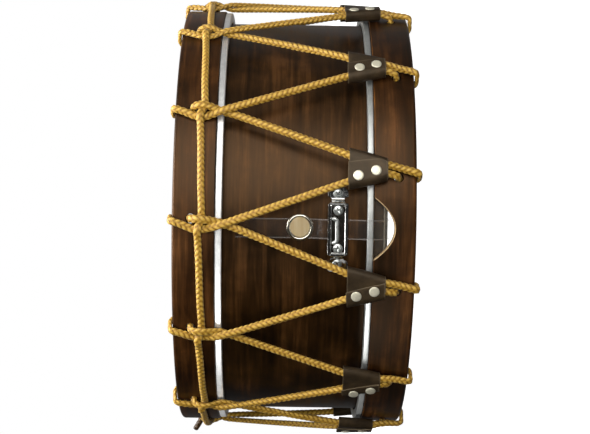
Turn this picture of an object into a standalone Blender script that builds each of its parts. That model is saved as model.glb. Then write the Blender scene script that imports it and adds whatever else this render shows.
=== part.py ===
"""Rope-tension field drum, modelled as an assembly of separate pieces.

Frame: +Z along the drum's axis, batter side up, snare side down.  The origin
is on the axis, at the lowest point of the rope loops that pass round the
snare-side rim.  Angles on the drum are measured from -Y towards +X, and the
butt plate stands at angle 0, the throw-off at 180 degrees.
Lengths below are in millimetres and are turned into metres where the meshes
are made.
"""
import bpy
import bmesh
import math
from mathutils import Vector, Matrix

MM = 0.001

# ---------------------------------------------------------------- dimensions
SEG = 60                    # facets round every ring
HOOP_R = 188.9              # outer radius of both counterhoops
HOOP_RI = 179.0             # inner radius of both counterhoops
HOOP_CH = 1.6               # chamfer of the hoop's outer edges
HOOP_IN = 3.2               # chamfer of its inner edge at the rim
SHELL_R = 177.8             # outer radius of the shell (14 inch drum)
SHELL_RI = 171.8            # inner radius of the shell
FLESH_R = 187.6             # outer radius of the flesh hoops
FLESH_RI = 179.1            # inner radius of the flesh hoops

Z_RIM_S = 4.1               # rim of the snare counterhoop
Z_EDGE_S = 38.1             # its edge towards the shell
Z_FLESH_S = (38.4, 43.3)    # snare flesh hoop
Z_FLESH_B = (159.8, 165.2)  # batter flesh hoop
Z_EDGE_B = 165.5            # batter counterhoop's edge towards the shell
Z_RIM_B = 199.7             # its rim
Z_SHELL = (27.7, 175.7)     # bearing edges
Z_HEAD_S = (26.9, 27.3)     # snare head film
Z_HEAD_B = (176.1, 176.5)   # batter head film
FILM_R = 178.15             # inner radius of the film's collar
FILM_T = 0.4

GATE_HALF = 25.0            # half width of a snare gate
GATE_DEPTH = 16.9           # depth of a snare gate

PITCH = 28.0                # angle between neighbouring rope points
N_EAR = 12                  # rope points on each hoop
EAR_TURN = {-4: -6.0, -5: -3.0}   # extra turn of two ears behind the edge
LOOSE_K = -3                # crossing where the tension rope begins and ends
LOOSE_DEG = -92.0           # angle of that crossing
ROPE_R = 3.1                # rope radius
MM_PER_DEG = 3.356          # arc length of one degree at the rope
BATTER_SHIFT = 0.55         # turn of the batter pattern against the snare one
Z_HOLE_B = 184.9            # rope holes in the batter hoop
Z_HOLE_S = 18.7             # rope holes in the snare hoop
HOLE_R = 3.9
HOLE_A_B = 4.4              # arc offset of a batter hole from its crossing
HOLE_A_S = -4.8             # arc offset of a snare hole from its ear

EAR_Z = (28.2, 59.6)        # an ear's narrow and wide end
EAR_T = 1.8                 # leather thickness
EAR_HALF_H = 3.7            # half height of the space inside an ear
EAR_ROPE_R = HOOP_R + 5.9   # radius at which the rope runs inside an ear
RIVETS = ((1.0, 37.4), (-3.0, 51.6))   # arc offset and height
RIVET_CAP_R = 4.0

VENT_Z = 97.2
VENT_OR = 10.75
VENT_IR = 8.0

BUTT_DEG = -0.3             # angle of the butt plate and its strap
BUTT_Z = 66.7
BUTT_HALF_Z = 8.2
BUTT_MOUNT_DEG = 9.06
BUTT_CLAMP_T = 15.3
STRAP_HALF = 8.0
STRAP_T = 0.5
STRAP_LIE = 178.75          # radius at which the butt strap lies on the shell
EYE_R = 10.4                # round eye of that strap, under the vent's flange

TO_Z = (52.0, 118.0)        # throw-off bracket
TO_PIVOT = (186.5, 108.0)   # lever axis: radius, height
TO_SCREW_N = 188.6          # axis of the tension screw


# ------------------------------------------------------------------- helpers
def clear_scene():
    for ob in list(bpy.data.objects):
        bpy.data.objects.remove(ob, do_unlink=True)


def polar(r, deg, z):
    a = math.radians(deg)
    return Vector((r * math.sin(a), -r * math.cos(a), z))


def material(name, color, rough, metal=0.0, alpha=1.0):
    m = bpy.data.materials.get(name)
    if m:
        return m
    m = bpy.data.materials.new(name)
    m.use_nodes = True
    b = m.node_tree.nodes["Principled BSDF"]
    b.inputs["Base Color"].default_value = (*color, 1.0)
    b.inputs["Roughness"].default_value = rough
    b.inputs["Metallic"].default_value = metal
    b.inputs["Alpha"].default_value = alpha
    m.diffuse_color = (*color, alpha)
    return m


def add_object(name, bm, mat, smooth=35.0, parent=None):
    """Make an object of a mesh drawn in millimetres."""
    bmesh.ops.recalc_face_normals(bm, faces=bm.faces)
    bmesh.ops.scale(bm, vec=(MM, MM, MM), verts=bm.verts)
    me = bpy.data.meshes.new(name)
    bm.to_mesh(me)
    bm.free()
    if smooth:
        me.shade_smooth()
        me.set_sharp_from_angle(angle=math.radians(smooth))
    me.materials.append(mat)
    ob = bpy.data.objects.new(name, me)
    bpy.context.scene.collection.objects.link(ob)
    if parent is not None:
        ob.parent = parent
        ob.matrix_parent_inverse = parent.matrix_world.inverted()
    return ob


def joint_empty(name, at_mm):
    e = bpy.data.objects.new(name, None)
    e.empty_display_size = 0.01
    e.location = Vector(at_mm) * MM
    bpy.context.scene.collection.objects.link(e)
    bpy.context.view_layer.update()
    return e


def cutter(name, bm):
    ob = add_object(name, bm, material("cutter", (1, 0, 1), 0.5), smooth=None)
    ob.hide_render = True
    ob.display_type = "WIRE"
    return ob


def boolean(ob, tool, operation="DIFFERENCE"):
    m = ob.modifiers.new(operation.lower(), "BOOLEAN")
    m.operation = operation
    m.solver = "EXACT"
    m.object = tool
    return m


def ring(name, profile, mat, smooth=35.0):
    """Turn a closed (radius, z) outline round the drum's axis."""
    bm = bmesh.new()
    start = 180.0 / SEG
    vs = [bm.verts.new(polar(r, start, z)) for r, z in profile]
    es = [bm.edges.new((vs[i], vs[(i + 1) % len(vs)])) for i in range(len(vs))]
    bmesh.ops.spin(bm, geom=vs + es, cent=(0, 0, 0), axis=(0, 0, 1),
                   dvec=(0, 0, 0), angle=2 * math.pi, steps=SEG,
                   use_merge=True, use_duplicate=False)
    bmesh.ops.remove_doubles(bm, verts=bm.verts, dist=0.001)
    return add_object(name, bm, mat, smooth)


def frame_at(deg, r, z):
    """Local frame on the drum: X tangential, Y radial outwards, Z up."""
    a = math.radians(deg)
    t = Vector((math.cos(a), math.sin(a), 0.0))
    n = Vector((math.sin(a), -math.cos(a), 0.0))
    m = Matrix.Identity(4)
    for i in range(3):
        m[i][0] = t[i]
        m[i][1] = n[i]
        m[i][2] = (0.0, 0.0, 1.0)[i]
    p = n * r
    m[0][3], m[1][3], m[2][3] = p.x, p.y, z
    return m


def radial_axis(deg, r, z):
    """Frame whose Z points radially outwards, X along the drum's axis."""
    base = frame_at(deg, r, z)
    turn = Matrix(((0, 1, 0, 0), (0, 0, 1, 0), (1, 0, 0, 0), (0, 0, 0, 1)))
    return base @ turn


def add_cone(bm, matrix, r1, r2, depth, sides):
    bmesh.ops.create_cone(bm, cap_ends=True, cap_tris=False, segments=sides,
                          radius1=r1, radius2=r2, depth=depth, matrix=matrix)


def turned(bm, matrix, profile, sides):
    """Turn a (radius, height) outline about the matrix's Z axis.

    Outlines that begin and end on the axis make a closed knob; others make
    a closed ring.
    """
    closed = profile[0][0] > 1e-6
    vs = []
    for r, h in profile:
        vs.append(bm.verts.new(matrix @ Vector((r, 0.0, h))))
    n = len(vs)
    last = n if closed else n - 1
    es = [bm.edges.new((vs[i], vs[(i + 1) % n])) for i in range(last)]
    cent = matrix @ Vector((0, 0, 0))
    axis = (matrix.to_3x3() @ Vector((0, 0, 1))).normalized()
    before = set(bm.verts)
    bmesh.ops.spin(bm, geom=vs + es, cent=cent, axis=axis, dvec=(0, 0, 0),
                   angle=2 * math.pi, steps=sides, use_merge=True,
                   use_duplicate=False)
    new = [v for v in bm.verts if v in set(vs) or v not in before]
    bmesh.ops.remove_doubles(bm, verts=new, dist=0.001)


def box(bm, matrix, lo, hi, bevel=0.0, segments=1):
    lo, hi = Vector(lo), Vector(hi)
    m = matrix @ Matrix.Translation((lo + hi) / 2) @ Matrix.Diagonal(
        (*(hi - lo), 1.0))
    got = bmesh.ops.create_cube(bm, size=1.0, matrix=m)
    if bevel:
        vs = set(got["verts"])
        es = [e for e in bm.edges if e.verts[0] in vs and e.verts[1] in vs]
        bmesh.ops.bevel(bm, geom=es, offset=bevel, offset_type="OFFSET",
                        segments=segments, profile=0.5, affect="EDGES",
                        clamp_overlap=True)


def strip(bm, matrix, line, half_width, thickness):
    """A thin strip that follows (radius, z) points, wide along X."""
    n = len(line)
    rows = []
    for i, (r, z) in enumerate(line):
        a = Vector(line[max(i - 1, 0)])
        b = Vector(line[min(i + 1, n - 1)])
        d = (b - a).normalized()
        nrm = Vector((d.y, -d.x)) * (thickness / 2)
        row = []
        for sx, sn in ((-1, 1), (1, 1), (1, -1), (-1, -1)):
            row.append(bm.verts.new(matrix @ Vector(
                (sx * half_width, r + sn * nrm.x, z + sn * nrm.y))))
        rows.append(row)
    for a, b in zip(rows, rows[1:]):
        for i in range(4):
            j = (i + 1) % 4
            bm.faces.new((a[i], a[j], b[j], b[i]))
    bm.faces.new(rows[0])
    bm.faces.new(reversed(rows[-1]))


# ---------------------------------------------------------------- rope routes
def ear_angle(j):
    return PITCH / 2 + PITCH * j + EAR_TURN.get(j, 0.0)


def crossing_angle(k):
    """Angle of batter crossing k; the last one stands over the throw-off."""
    if k == N_EAR // 2:
        return 180.0 + BATTER_SHIFT
    if k == LOOSE_K:
        return LOOSE_DEG
    return (ear_angle(k - 1) + ear_angle(k)) / 2 + BATTER_SHIFT


def at(deg, arc, r, z):
    return polar(r, deg + arc / MM_PER_DEG, z)


# Each row: arc offset from the crossing or ear, radius, height, rope radius.
BATTER_IN = [      # strand coming in, over the rim, back out of the hole
    (0.9, HOOP_R + 6.4, 157.6, 2.1),
    (-0.2, HOOP_R + 6.3, 161.0, 2.1),
    (-1.4, HOOP_R + 5.8, 164.6, 2.1),
    (-3.7, HOOP_R + 2.4, 173.8, 2.1),
    (-4.2, HOOP_R + 2.4, 180.4, 2.1),
    (0.4, HOOP_R + 3.3, 193.4, 2.9),
    (2.6, HOOP_R + 2.9, 200.8, 2.3),
    (3.6, HOOP_R - 2.4, Z_RIM_B + 1.95, 1.65),
    (4.0, HOOP_RI + 2.2, Z_RIM_B + 1.95, 1.6),
    (4.2, HOOP_RI - 2.0, Z_RIM_B - 2.0, 1.75),
    (4.3, HOOP_RI - 2.5, 193.2, 2.0),
    (4.4, HOOP_RI - 2.6, 187.0, 2.1),
    (4.4, HOOP_RI + 1.0, 184.9, 2.4),
    (4.4, HOOP_R + 3.1, 184.7, 2.4),
    (4.3, HOOP_R + 7.8, 179.8, 2.0),
    (4.2, HOOP_R + 7.9, 175.2, 2.0),
    (2.5, HOOP_R + 3.4, 165.2, 2.1),
    (1.6, HOOP_R + 1.9, 161.2, 2.1),
    (0.4, HOOP_R + 1.6, 157.8, 2.1),
    (-2.2, HOOP_R + 1.9, 150.0, 2.4),
]
FIRST_INSIDE = 11  # row of BATTER_IN that stands inside the hoop at its hole
LOOSE_END = BATTER_IN[:5] + [   # tucked under the woven rope, then outwards
    (-4.2, HOOP_R + 4.6, 185.2, 2.4),
    (-4.3, HOOP_R + 9.2, 186.0, 2.8),
    (-4.4, HOOP_R + 13.4, 184.8, 2.8),
]
SNARE_TURN = [     # upper strand down through the ear, round the rim, back
    (12.6, EAR_ROPE_R + 0.2, 61.5, 3.1),
    (4.3, EAR_ROPE_R + 0.0, 28.0, 3.1),
    (1.7, HOOP_R + 4.2, 16.2, 3.1),
    (-2.0, HOOP_R + 2.9, 2.7, 2.3),
    (-2.8, HOOP_R - 2.4, 1.81, 1.8),
    (-3.3, HOOP_RI + 2.2, 2.0, 1.7),
    (-3.8, HOOP_RI - 2.0, 6.1, 1.75),
    (-4.3, HOOP_RI - 2.5, 10.6, 2.0),
    (-4.8, HOOP_RI - 2.6, 16.6, 2.1),
    (-4.8, HOOP_RI + 1.0, 18.7, 2.4),
    (-4.6, HOOP_R + 2.8, 19.6, 2.5),
    (-2.9, EAR_ROPE_R - 0.1, 27.2, 3.0),
    (-10.4, EAR_ROPE_R + 0.2, 61.5, 3.1),
]
WOVEN_CROSS = [    # woven rope: under the leaving strand, over the other
    (11.0, HOOP_R + 3.6, 175.6, 3.0),
    (5.8, HOOP_R + 2.5, 175.8, 2.05),
    (-4.9, HOOP_R + 7.8, 178.6, 2.0),
    (-12.5, HOOP_R + 4.3, 178.3, 3.0),
]


def tension_route():
    """Control points of the whole tension rope, and its radius at each.

    The rope starts behind the batter hoop at crossing LOOSE_K, leaves through
    that crossing's hole, and runs round the drum by falling angle: ear, snare
    rim, back through the same ear, next crossing. Its other end comes back to
    the first crossing, where it is tucked under the woven rope and stands off.
    """
    pts = []
    k = LOOSE_K
    start = crossing_angle(k)
    # the stopper end: a short tail lying along the inside of the hoop
    pts.append((at(start, 15.0, HOOP_RI - 3.6, 189.6), 2.4))
    pts.append((at(start, 9.6, HOOP_RI - 3.4, 188.4), 2.4))
    for row in BATTER_IN[FIRST_INSIDE:]:
        pts.append((at(start, *row[:3]), row[3]))
    for step in range(N_EAR):
        for row in SNARE_TURN:
            pts.append((at(ear_angle(k - 1), *row[:3]), row[3]))
        k = k - 1 if k > 1 - N_EAR // 2 else N_EAR // 2
        for row in BATTER_IN if step < N_EAR - 1 else LOOSE_END:
            pts.append((at(crossing_angle(k), *row[:3]), row[3]))
    return pts


def woven_route():
    """Control points of the rope woven round the batter hoop."""
    pts = []
    k_list = list(range(LOOSE_K - 1, LOOSE_K - 1 - N_EAR, -1))
    # begins beside the crossing that follows the tension rope's ends
    lead = woven_angle(k_list[0])
    pts.append((at(lead, 20.0, HOOP_R + 3.6, 176.6), 3.1))
    for n, k in enumerate(k_list):
        here = woven_angle(k)
        for row in WOVEN_CROSS:
            pts.append((at(here, *row[:3]), row[3]))
        if n < len(k_list) - 1:
            nxt = woven_angle(k_list[n + 1])
            a0 = here - 12.5 / MM_PER_DEG
            a1 = nxt + 11.0 / MM_PER_DEG
            for f in (0.25, 0.5, 0.75):
                z = 177.9 + (175.9 - 177.9) * f
                pts.append((polar(HOOP_R + 3.9, a0 + (a1 - a0) * f, z), 3.1))
    # its end lies against the hoop
    end = woven_angle(k_list[-1])
    pts.append((at(end, -19.0, HOOP_R + 4.2, 178.0), 3.1))
    pts.append((at(end, -27.0, HOOP_R + 4.0, 177.0), 3.1))
    return pts


def woven_angle(k):
    """Crossing angle for any whole k, counted past the throw-off."""
    turns, rest = divmod(k + N_EAR // 2 - 1, N_EAR)
    return crossing_angle(rest - N_EAR // 2 + 1) + 360.0 * turns


def rope(name, pts, mat):
    """A tube along the route, eight-sided, with filled ends."""
    cu = bpy.data.curves.new(name, "CURVE")
    cu.dimensions = "3D"
    cu.resolution_u = 1
    cu.bevel_depth = 1.0 * MM
    cu.bevel_resolution = 2
    cu.use_fill_caps = True
    cu.twist_mode = "MINIMUM"
    sp = cu.splines.new("POLY")
    sp.points.add(len(pts) - 1)
    for q, (p, r) in zip(sp.points, pts):
        q.co = (p.x * MM, p.y * MM, p.z * MM, 1.0)
        q.radius = r
    cu.materials.append(mat)
    ob = bpy.data.objects.new(name, cu)
    bpy.context.scene.collection.objects.link(ob)
    return ob


# ------------------------------------------------------------------ the drum
def hoop_profile(z_edge, z_rim):
    """Outline of a counterhoop from its edge by the shell to its rim."""
    c, up = HOOP_CH, (1.0 if z_rim > z_edge else -1.0)
    return [(HOOP_RI, z_edge + up * 1.0), (HOOP_RI + 1.0, z_edge),
            (HOOP_R - c, z_edge), (HOOP_R, z_edge + up * c),
            (HOOP_R, z_rim - up * c), (HOOP_R - c, z_rim),
            (HOOP_RI + HOOP_IN, z_rim), (HOOP_RI, z_rim - up * HOOP_IN)]


def make_hoops(wood):
    cut = bmesh.new()
    for k in range(-N_EAR // 2 + 1, N_EAR // 2 + 1):
        deg = crossing_angle(k) + HOLE_A_B / MM_PER_DEG
        add_cone(cut, radial_axis(deg, 184.0, Z_HOLE_B), HOLE_R, HOLE_R,
                 20.0, 8)
    holes_b = cutter("rope_holes_batter", cut)
    cut = bmesh.new()
    for j in range(-N_EAR // 2, N_EAR // 2):
        deg = ear_angle(j) + HOLE_A_S / MM_PER_DEG
        add_cone(cut, radial_axis(deg, 184.0, Z_HOLE_S), HOLE_R, HOLE_R,
                 20.0, 8)
    for deg in (0.0, 180.0):
        m = frame_at(deg, 0.0, 0.0)
        n = 12
        outline = []
        for i in range(n + 1):
            t = -GATE_HALF + 2 * GATE_HALF * i / n
            outline.append((t, Z_EDGE_S - GATE_DEPTH *
                            (1 - (t / GATE_HALF) ** 2)))
        outline[0] = (-GATE_HALF, Z_EDGE_S)
        outline[-1] = (GATE_HALF, Z_EDGE_S)
        outline += [(GATE_HALF, Z_EDGE_S + 3.0), (-GATE_HALF, Z_EDGE_S + 3.0)]
        near = [cut.verts.new(m @ Vector((t, 165.0, z))) for t, z in outline]
        far = [cut.verts.new(m @ Vector((t, 200.0, z))) for t, z in outline]
        cut.faces.new(near)
        cut.faces.new(list(reversed(far)))
        for i in range(len(outline)):
            j = (i + 1) % len(outline)
            cut.faces.new((near[j], near[i], far[i], far[j]))
    holes_s = cutter("rope_holes_and_gates_snare", cut)
    top = ring("batter_counterhoop", hoop_profile(Z_EDGE_B, Z_RIM_B), wood)
    boolean(top, holes_b)
    low = ring("snare_counterhoop", hoop_profile(Z_EDGE_S, Z_RIM_S), wood)
    boolean(low, holes_s)


def make_shell(wood):
    z0, z1 = Z_SHELL
    prof = [(SHELL_R, z0 + 1.6), (SHELL_R, z1 - 1.6), (SHELL_R - 1.6, z1),
            (SHELL_R - 2.4, z1), (SHELL_RI, z1 - 3.4),
            (SHELL_RI, z0 + 3.4), (SHELL_R - 2.4, z0), (SHELL_R - 1.6, z0)]
    shell = ring("shell", prof, wood)
    cut = bmesh.new()
    add_cone(cut, radial_axis(0.0, 175.0, VENT_Z), 9.0, 9.0, 30.0, 20)
    for s in (-1, 1):
        add_cone(cut, radial_axis(BUTT_DEG + s * BUTT_MOUNT_DEG, 175.0,
                                  BUTT_Z), 2.0, 2.0, 30.0, 8)
    boolean(shell, cutter("shell_holes", cut))


def make_flesh_hoops(alu):
    for name, (z0, z1) in (("batter_flesh_hoop", Z_FLESH_B),
                           ("snare_flesh_hoop", Z_FLESH_S)):
        c = 0.8
        ring(name, [(FLESH_RI, z0), (FLESH_R - c, z0), (FLESH_R, z0 + c),
                    (FLESH_R, z1 - c), (FLESH_R - c, z1), (FLESH_RI, z1)],
             alu)


def make_heads(film):
    r, t = FILM_R, FILM_T
    for name, (lo, hi), up, foot in (
            ("batter_head", Z_HEAD_B, 1, Z_FLESH_B[0] + 1.0),
            ("snare_head", Z_HEAD_S, -1, Z_FLESH_S[1] - 1.0)):
        outer = hi if up > 0 else lo      # playing surface
        inner = lo if up > 0 else hi
        bm = bmesh.new()
        m = Matrix.Identity(4)
        prof = [(0.0, outer), (r - 1.6, outer), (r + t, outer - up * 2.0),
                (r + t, foot), (r, foot), (r, inner - up * 1.7),
                (r - 1.8, inner), (0.0, inner)]
        start = Matrix.Rotation(math.radians(-90.0 + 180.0 / SEG), 4, "Z")
        turned(bm, m @ start, prof, SEG)
        add_object(name, bm, film, smooth=40.0)


def make_ears(leather, nickel):
    """Twelve leather ears, each with its two rivets, on a sliding body."""
    for j in range(-N_EAR // 2, N_EAR // 2):
        n = j + N_EAR // 2 + 1
        deg = ear_angle(j)
        pivot = joint_empty("ear_slide_%02d" % n,
                            polar(EAR_ROPE_R, deg, EAR_Z[0]))
        base = frame_at(deg, EAR_ROPE_R, 0.0)
        bm = bmesh.new()
        rings = []
        for z, c, w in ((EAR_Z[0], 0.7, 7.7), (EAR_Z[1], 1.05, 15.4)):
            for grow in (0.0, EAR_T):
                h = EAR_HALF_H + grow
                half = w + grow
                row = []
                for sx, pts in ((1, (-60, 0, 60)), (-1, (120, 180, 240))):
                    for d in pts:
                        a = math.radians(d)
                        x = c + sx * (half - h) + h * math.cos(a)
                        row.append(bm.verts.new(base @ Vector(
                            (x, h * math.sin(a) / math.sin(math.radians(60)),
                             z))))
                rings.append(row)
        inner0, outer0, inner1, outer1 = rings
        k = len(inner0)
        for i in range(k):
            q = (i + 1) % k
            bm.faces.new((outer0[i], outer0[q], outer1[q], outer1[i]))
            bm.faces.new((inner0[q], inner0[i], inner1[i], inner1[q]))
            bm.faces.new((inner0[i], inner0[q], outer0[q], outer0[i]))
            bm.faces.new((inner1[q], inner1[i], outer1[i], outer1[q]))
        ear = add_object("ear_%02d" % n, bm, leather, smooth=50.0,
                         parent=pivot)
        cut = bmesh.new()
        for t, z in RIVETS:
            add_cone(cut, radial_axis(deg, EAR_ROPE_R + EAR_HALF_H + 1.0, z)
                     @ Matrix.Translation((0.0, t, 0.0)), 1.9, 1.9, 5.0, 6)
        tool = cutter("rivet_holes_%02d" % n, cut)
        tool.parent = pivot
        tool.matrix_parent_inverse = pivot.matrix_world.inverted()
        boolean(ear, tool)
        for side, (t, z) in zip(("a", "b"), RIVETS):
            bm = bmesh.new()
            face = EAR_HALF_H + EAR_T + 0.3
            m = (radial_axis(deg, EAR_ROPE_R, z)
                 @ Matrix.Translation((0.0, t, 0.0)))
            turned(bm, m, [(0.0, 1.6), (1.4, 1.6), (1.4, face),
                           (RIVET_CAP_R, face), (RIVET_CAP_R * 0.72,
                                                 face + 1.15),
                           (0.0, face + 1.5)], 6)
            add_object("rivet_%02d%s" % (n, side), bm, nickel, smooth=60.0,
                       parent=pivot)


def make_vent(nickel):
    bm = bmesh.new()
    m = radial_axis(0.0, 0.0, VENT_Z)
    o, i = VENT_OR, VENT_IR
    turned(bm, m, [(i, 170.2), (o, 170.2), (o, 171.1), (8.6, 171.1),
                   (8.6, 179.3), (o, 179.3), (o, 179.6), (o - 0.9, 180.3),
                   (i + 0.8, 180.3), (i, 179.6)], 20)
    add_object("vent_grommet", bm, nickel, smooth=40.0)


def screw(name, deg, t, z, seat_r, tip_r, shank_r, head_r, head_h, mat,
          parent=None):
    base = frame_at(deg, 0.0, 0.0) @ Matrix.Translation((t, 0.0, z))
    turn = Matrix(((0, 1, 0, 0), (0, 0, 1, 0), (1, 0, 0, 0), (0, 0, 0, 1)))
    m = base @ turn
    bm = bmesh.new()
    turned(bm, m, [(0.0, tip_r), (shank_r, tip_r), (shank_r, seat_r),
                   (head_r, seat_r), (head_r * 0.9, seat_r + head_h * 0.55),
                   (head_r * 0.5, seat_r + head_h), (0.0, seat_r + head_h)],
           10)
    return add_object(name, bm, mat, smooth=50.0, parent=parent)


def make_butt(chrome):
    m = frame_at(BUTT_DEG, 0.0, BUTT_Z)
    # bent strip: two feet on the shell, a raised bridge between them
    low = [(34.3, 174.9), (22.6, 176.9), (20.6, 182.2)]
    low = low + [(-t, n) for t, n in reversed(low)]
    top = [(34.5, 176.2), (23.6, 178.1), (21.6, 183.4)]
    top = top + [(-t, n) for t, n in reversed(top)]
    outline = low + list(reversed(top))
    bm = bmesh.new()
    a = [bm.verts.new(m @ Vector((t, n, -BUTT_HALF_Z))) for t, n in outline]
    b = [bm.verts.new(m @ Vector((t, n, BUTT_HALF_Z))) for t, n in outline]
    for i in range(len(outline)):
        j = (i + 1) % len(outline)
        bm.faces.new((a[i], a[j], b[j], b[i]))
    # end faces as quads between the lower and the upper line
    n = len(low)
    for side in (a, b):
        for i in range(n - 1):
            bm.faces.new((side[i], side[i + 1], side[-2 - i], side[-1 - i]))
    ends = [e for e in bm.edges
            if all(abs((m.inverted() @ v.co).x) > 34.0 for v in e.verts)
            and abs((m.inverted() @ e.verts[0].co).z
                    - (m.inverted() @ e.verts[1].co).z) < 1e-6
            and e.calc_length() > 1.0 and e.calc_length() < 2.0]
    bmesh.ops.bevel(bm, geom=ends, offset=5.2, offset_type="OFFSET",
                    segments=3, profile=0.5, affect="EDGES")
    br = add_object("butt_bracket", bm, chrome, smooth=30.0)
    cut = bmesh.new()
    for s in (-1, 1):
        add_cone(cut, radial_axis(BUTT_DEG + s * BUTT_MOUNT_DEG, 178.0,
                                  BUTT_Z), 2.1, 2.1, 8.0, 8)
        add_cone(cut, radial_axis(BUTT_DEG, 183.0, BUTT_Z) @ Matrix.Translation(
            (0.0, s * BUTT_CLAMP_T, 0.0)), 2.1, 2.1, 8.0, 8)
    boolean(br, cutter("butt_bracket_holes", cut))

    bm = bmesh.new()
    box(bm, m, (-21.3, 184.55, -BUTT_HALF_Z), (21.3, 187.0, BUTT_HALF_Z),
        bevel=0.9)
    cl = add_object("butt_clamp", bm, chrome, smooth=30.0)
    bm = bmesh.new()
    box(bm, m, (-9.2, 186.2, -1.6), (9.2, 188.0, 1.6), bevel=0.6)
    ridge = cutter("butt_clamp_ridge", bm)
    boolean(cl, ridge, "UNION")
    cut = bmesh.new()
    for s in (-1, 1):
        add_cone(cut, radial_axis(BUTT_DEG, 186.0, BUTT_Z) @ Matrix.Translation(
            (0.0, s * BUTT_CLAMP_T, 0.0)), 2.1, 2.1, 8.0, 8)
    boolean(cl, cutter("butt_clamp_holes", cut))

    for s, w in ((1, "upper"), (-1, "lower")):
        screw("butt_clamp_screw_" + w, BUTT_DEG, s * BUTT_CLAMP_T, BUTT_Z, 187.3,
              179.4, 1.6, 4.0, 1.9, chrome)
        screw("butt_mount_screw_" + w, BUTT_DEG + s * BUTT_MOUNT_DEG, 0.0,
              BUTT_Z, 180.0, 169.5, 1.6, 4.0, 2.0, chrome)


def make_straps(plastic):
    m = frame_at(BUTT_DEG, 0.0, 0.0)
    common = [(150.5, 24.85), (171.0, 24.85), (177.2, 25.6), (180.6, 28.2),
              (187.6, 36.4), (188.3, 38.6), (188.3, 43.2)]
    bm = bmesh.new()
    strip(bm, m, common + [(186.4, 50.0), (183.98, 57.0), (183.98, 77.0),
                           (181.6, 80.6), (STRAP_LIE, 84.2),
                           (STRAP_LIE, 149.0)],
          STRAP_HALF, STRAP_T)
    ob = add_object("snare_strap_butt", bm, plastic, smooth=None)
    # the eyelet of the vent passes through a round eye in the strap
    bm = bmesh.new()
    add_cone(bm, radial_axis(0.0, STRAP_LIE, VENT_Z), EYE_R, EYE_R,
             STRAP_T - 0.1, 24)
    boolean(ob, cutter("strap_eye", bm), "UNION")
    bm = bmesh.new()
    add_cone(bm, radial_axis(0.0, STRAP_LIE, VENT_Z), 9.0, 9.0, 6.0, 20)
    boolean(ob, cutter("strap_eye_hole", bm))
    m = frame_at(180.0, 0.0, 0.0)
    bm = bmesh.new()
    strip(bm, m, common + [(187.0, 48.6), (184.6, 54.0), (184.3, 57.0),
                           (184.3, 61.0)], STRAP_HALF, STRAP_T)
    add_object("snare_strap_throwoff", bm, plastic, smooth=None)


def make_snares(steel):
    bm = bmesh.new()
    e = Matrix.Identity(4)
    box(bm, e, (-21.0, -163.0, 25.4), (21.0, -151.0, 26.6))
    box(bm, e, (-21.0, 151.0, 25.4), (21.0, 163.0, 26.6))
    n = 12
    for i in range(n):
        x = -18.7 + 37.4 * i / (n - 1)
        rod = bmesh.new()
        m = Matrix.Translation((x, 0.0, 25.9)) @ Matrix.Rotation(
            math.radians(90), 4, "X")
        add_cone(bm, m, 0.62, 0.62, 306.0, 6)
        rod.free()
    plates = add_object("snare_wires", bm, steel, smooth=40.0)
    # the plates and rods above overlap: one union makes a single solid
    bm = bmesh.new()
    box(bm, e, (-20.4, -162.4, 25.6), (20.4, -156.0, 26.4))
    tool = cutter("snare_union", bm)
    u = boolean(plates, tool, "UNION")
    u.use_self = True


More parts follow.
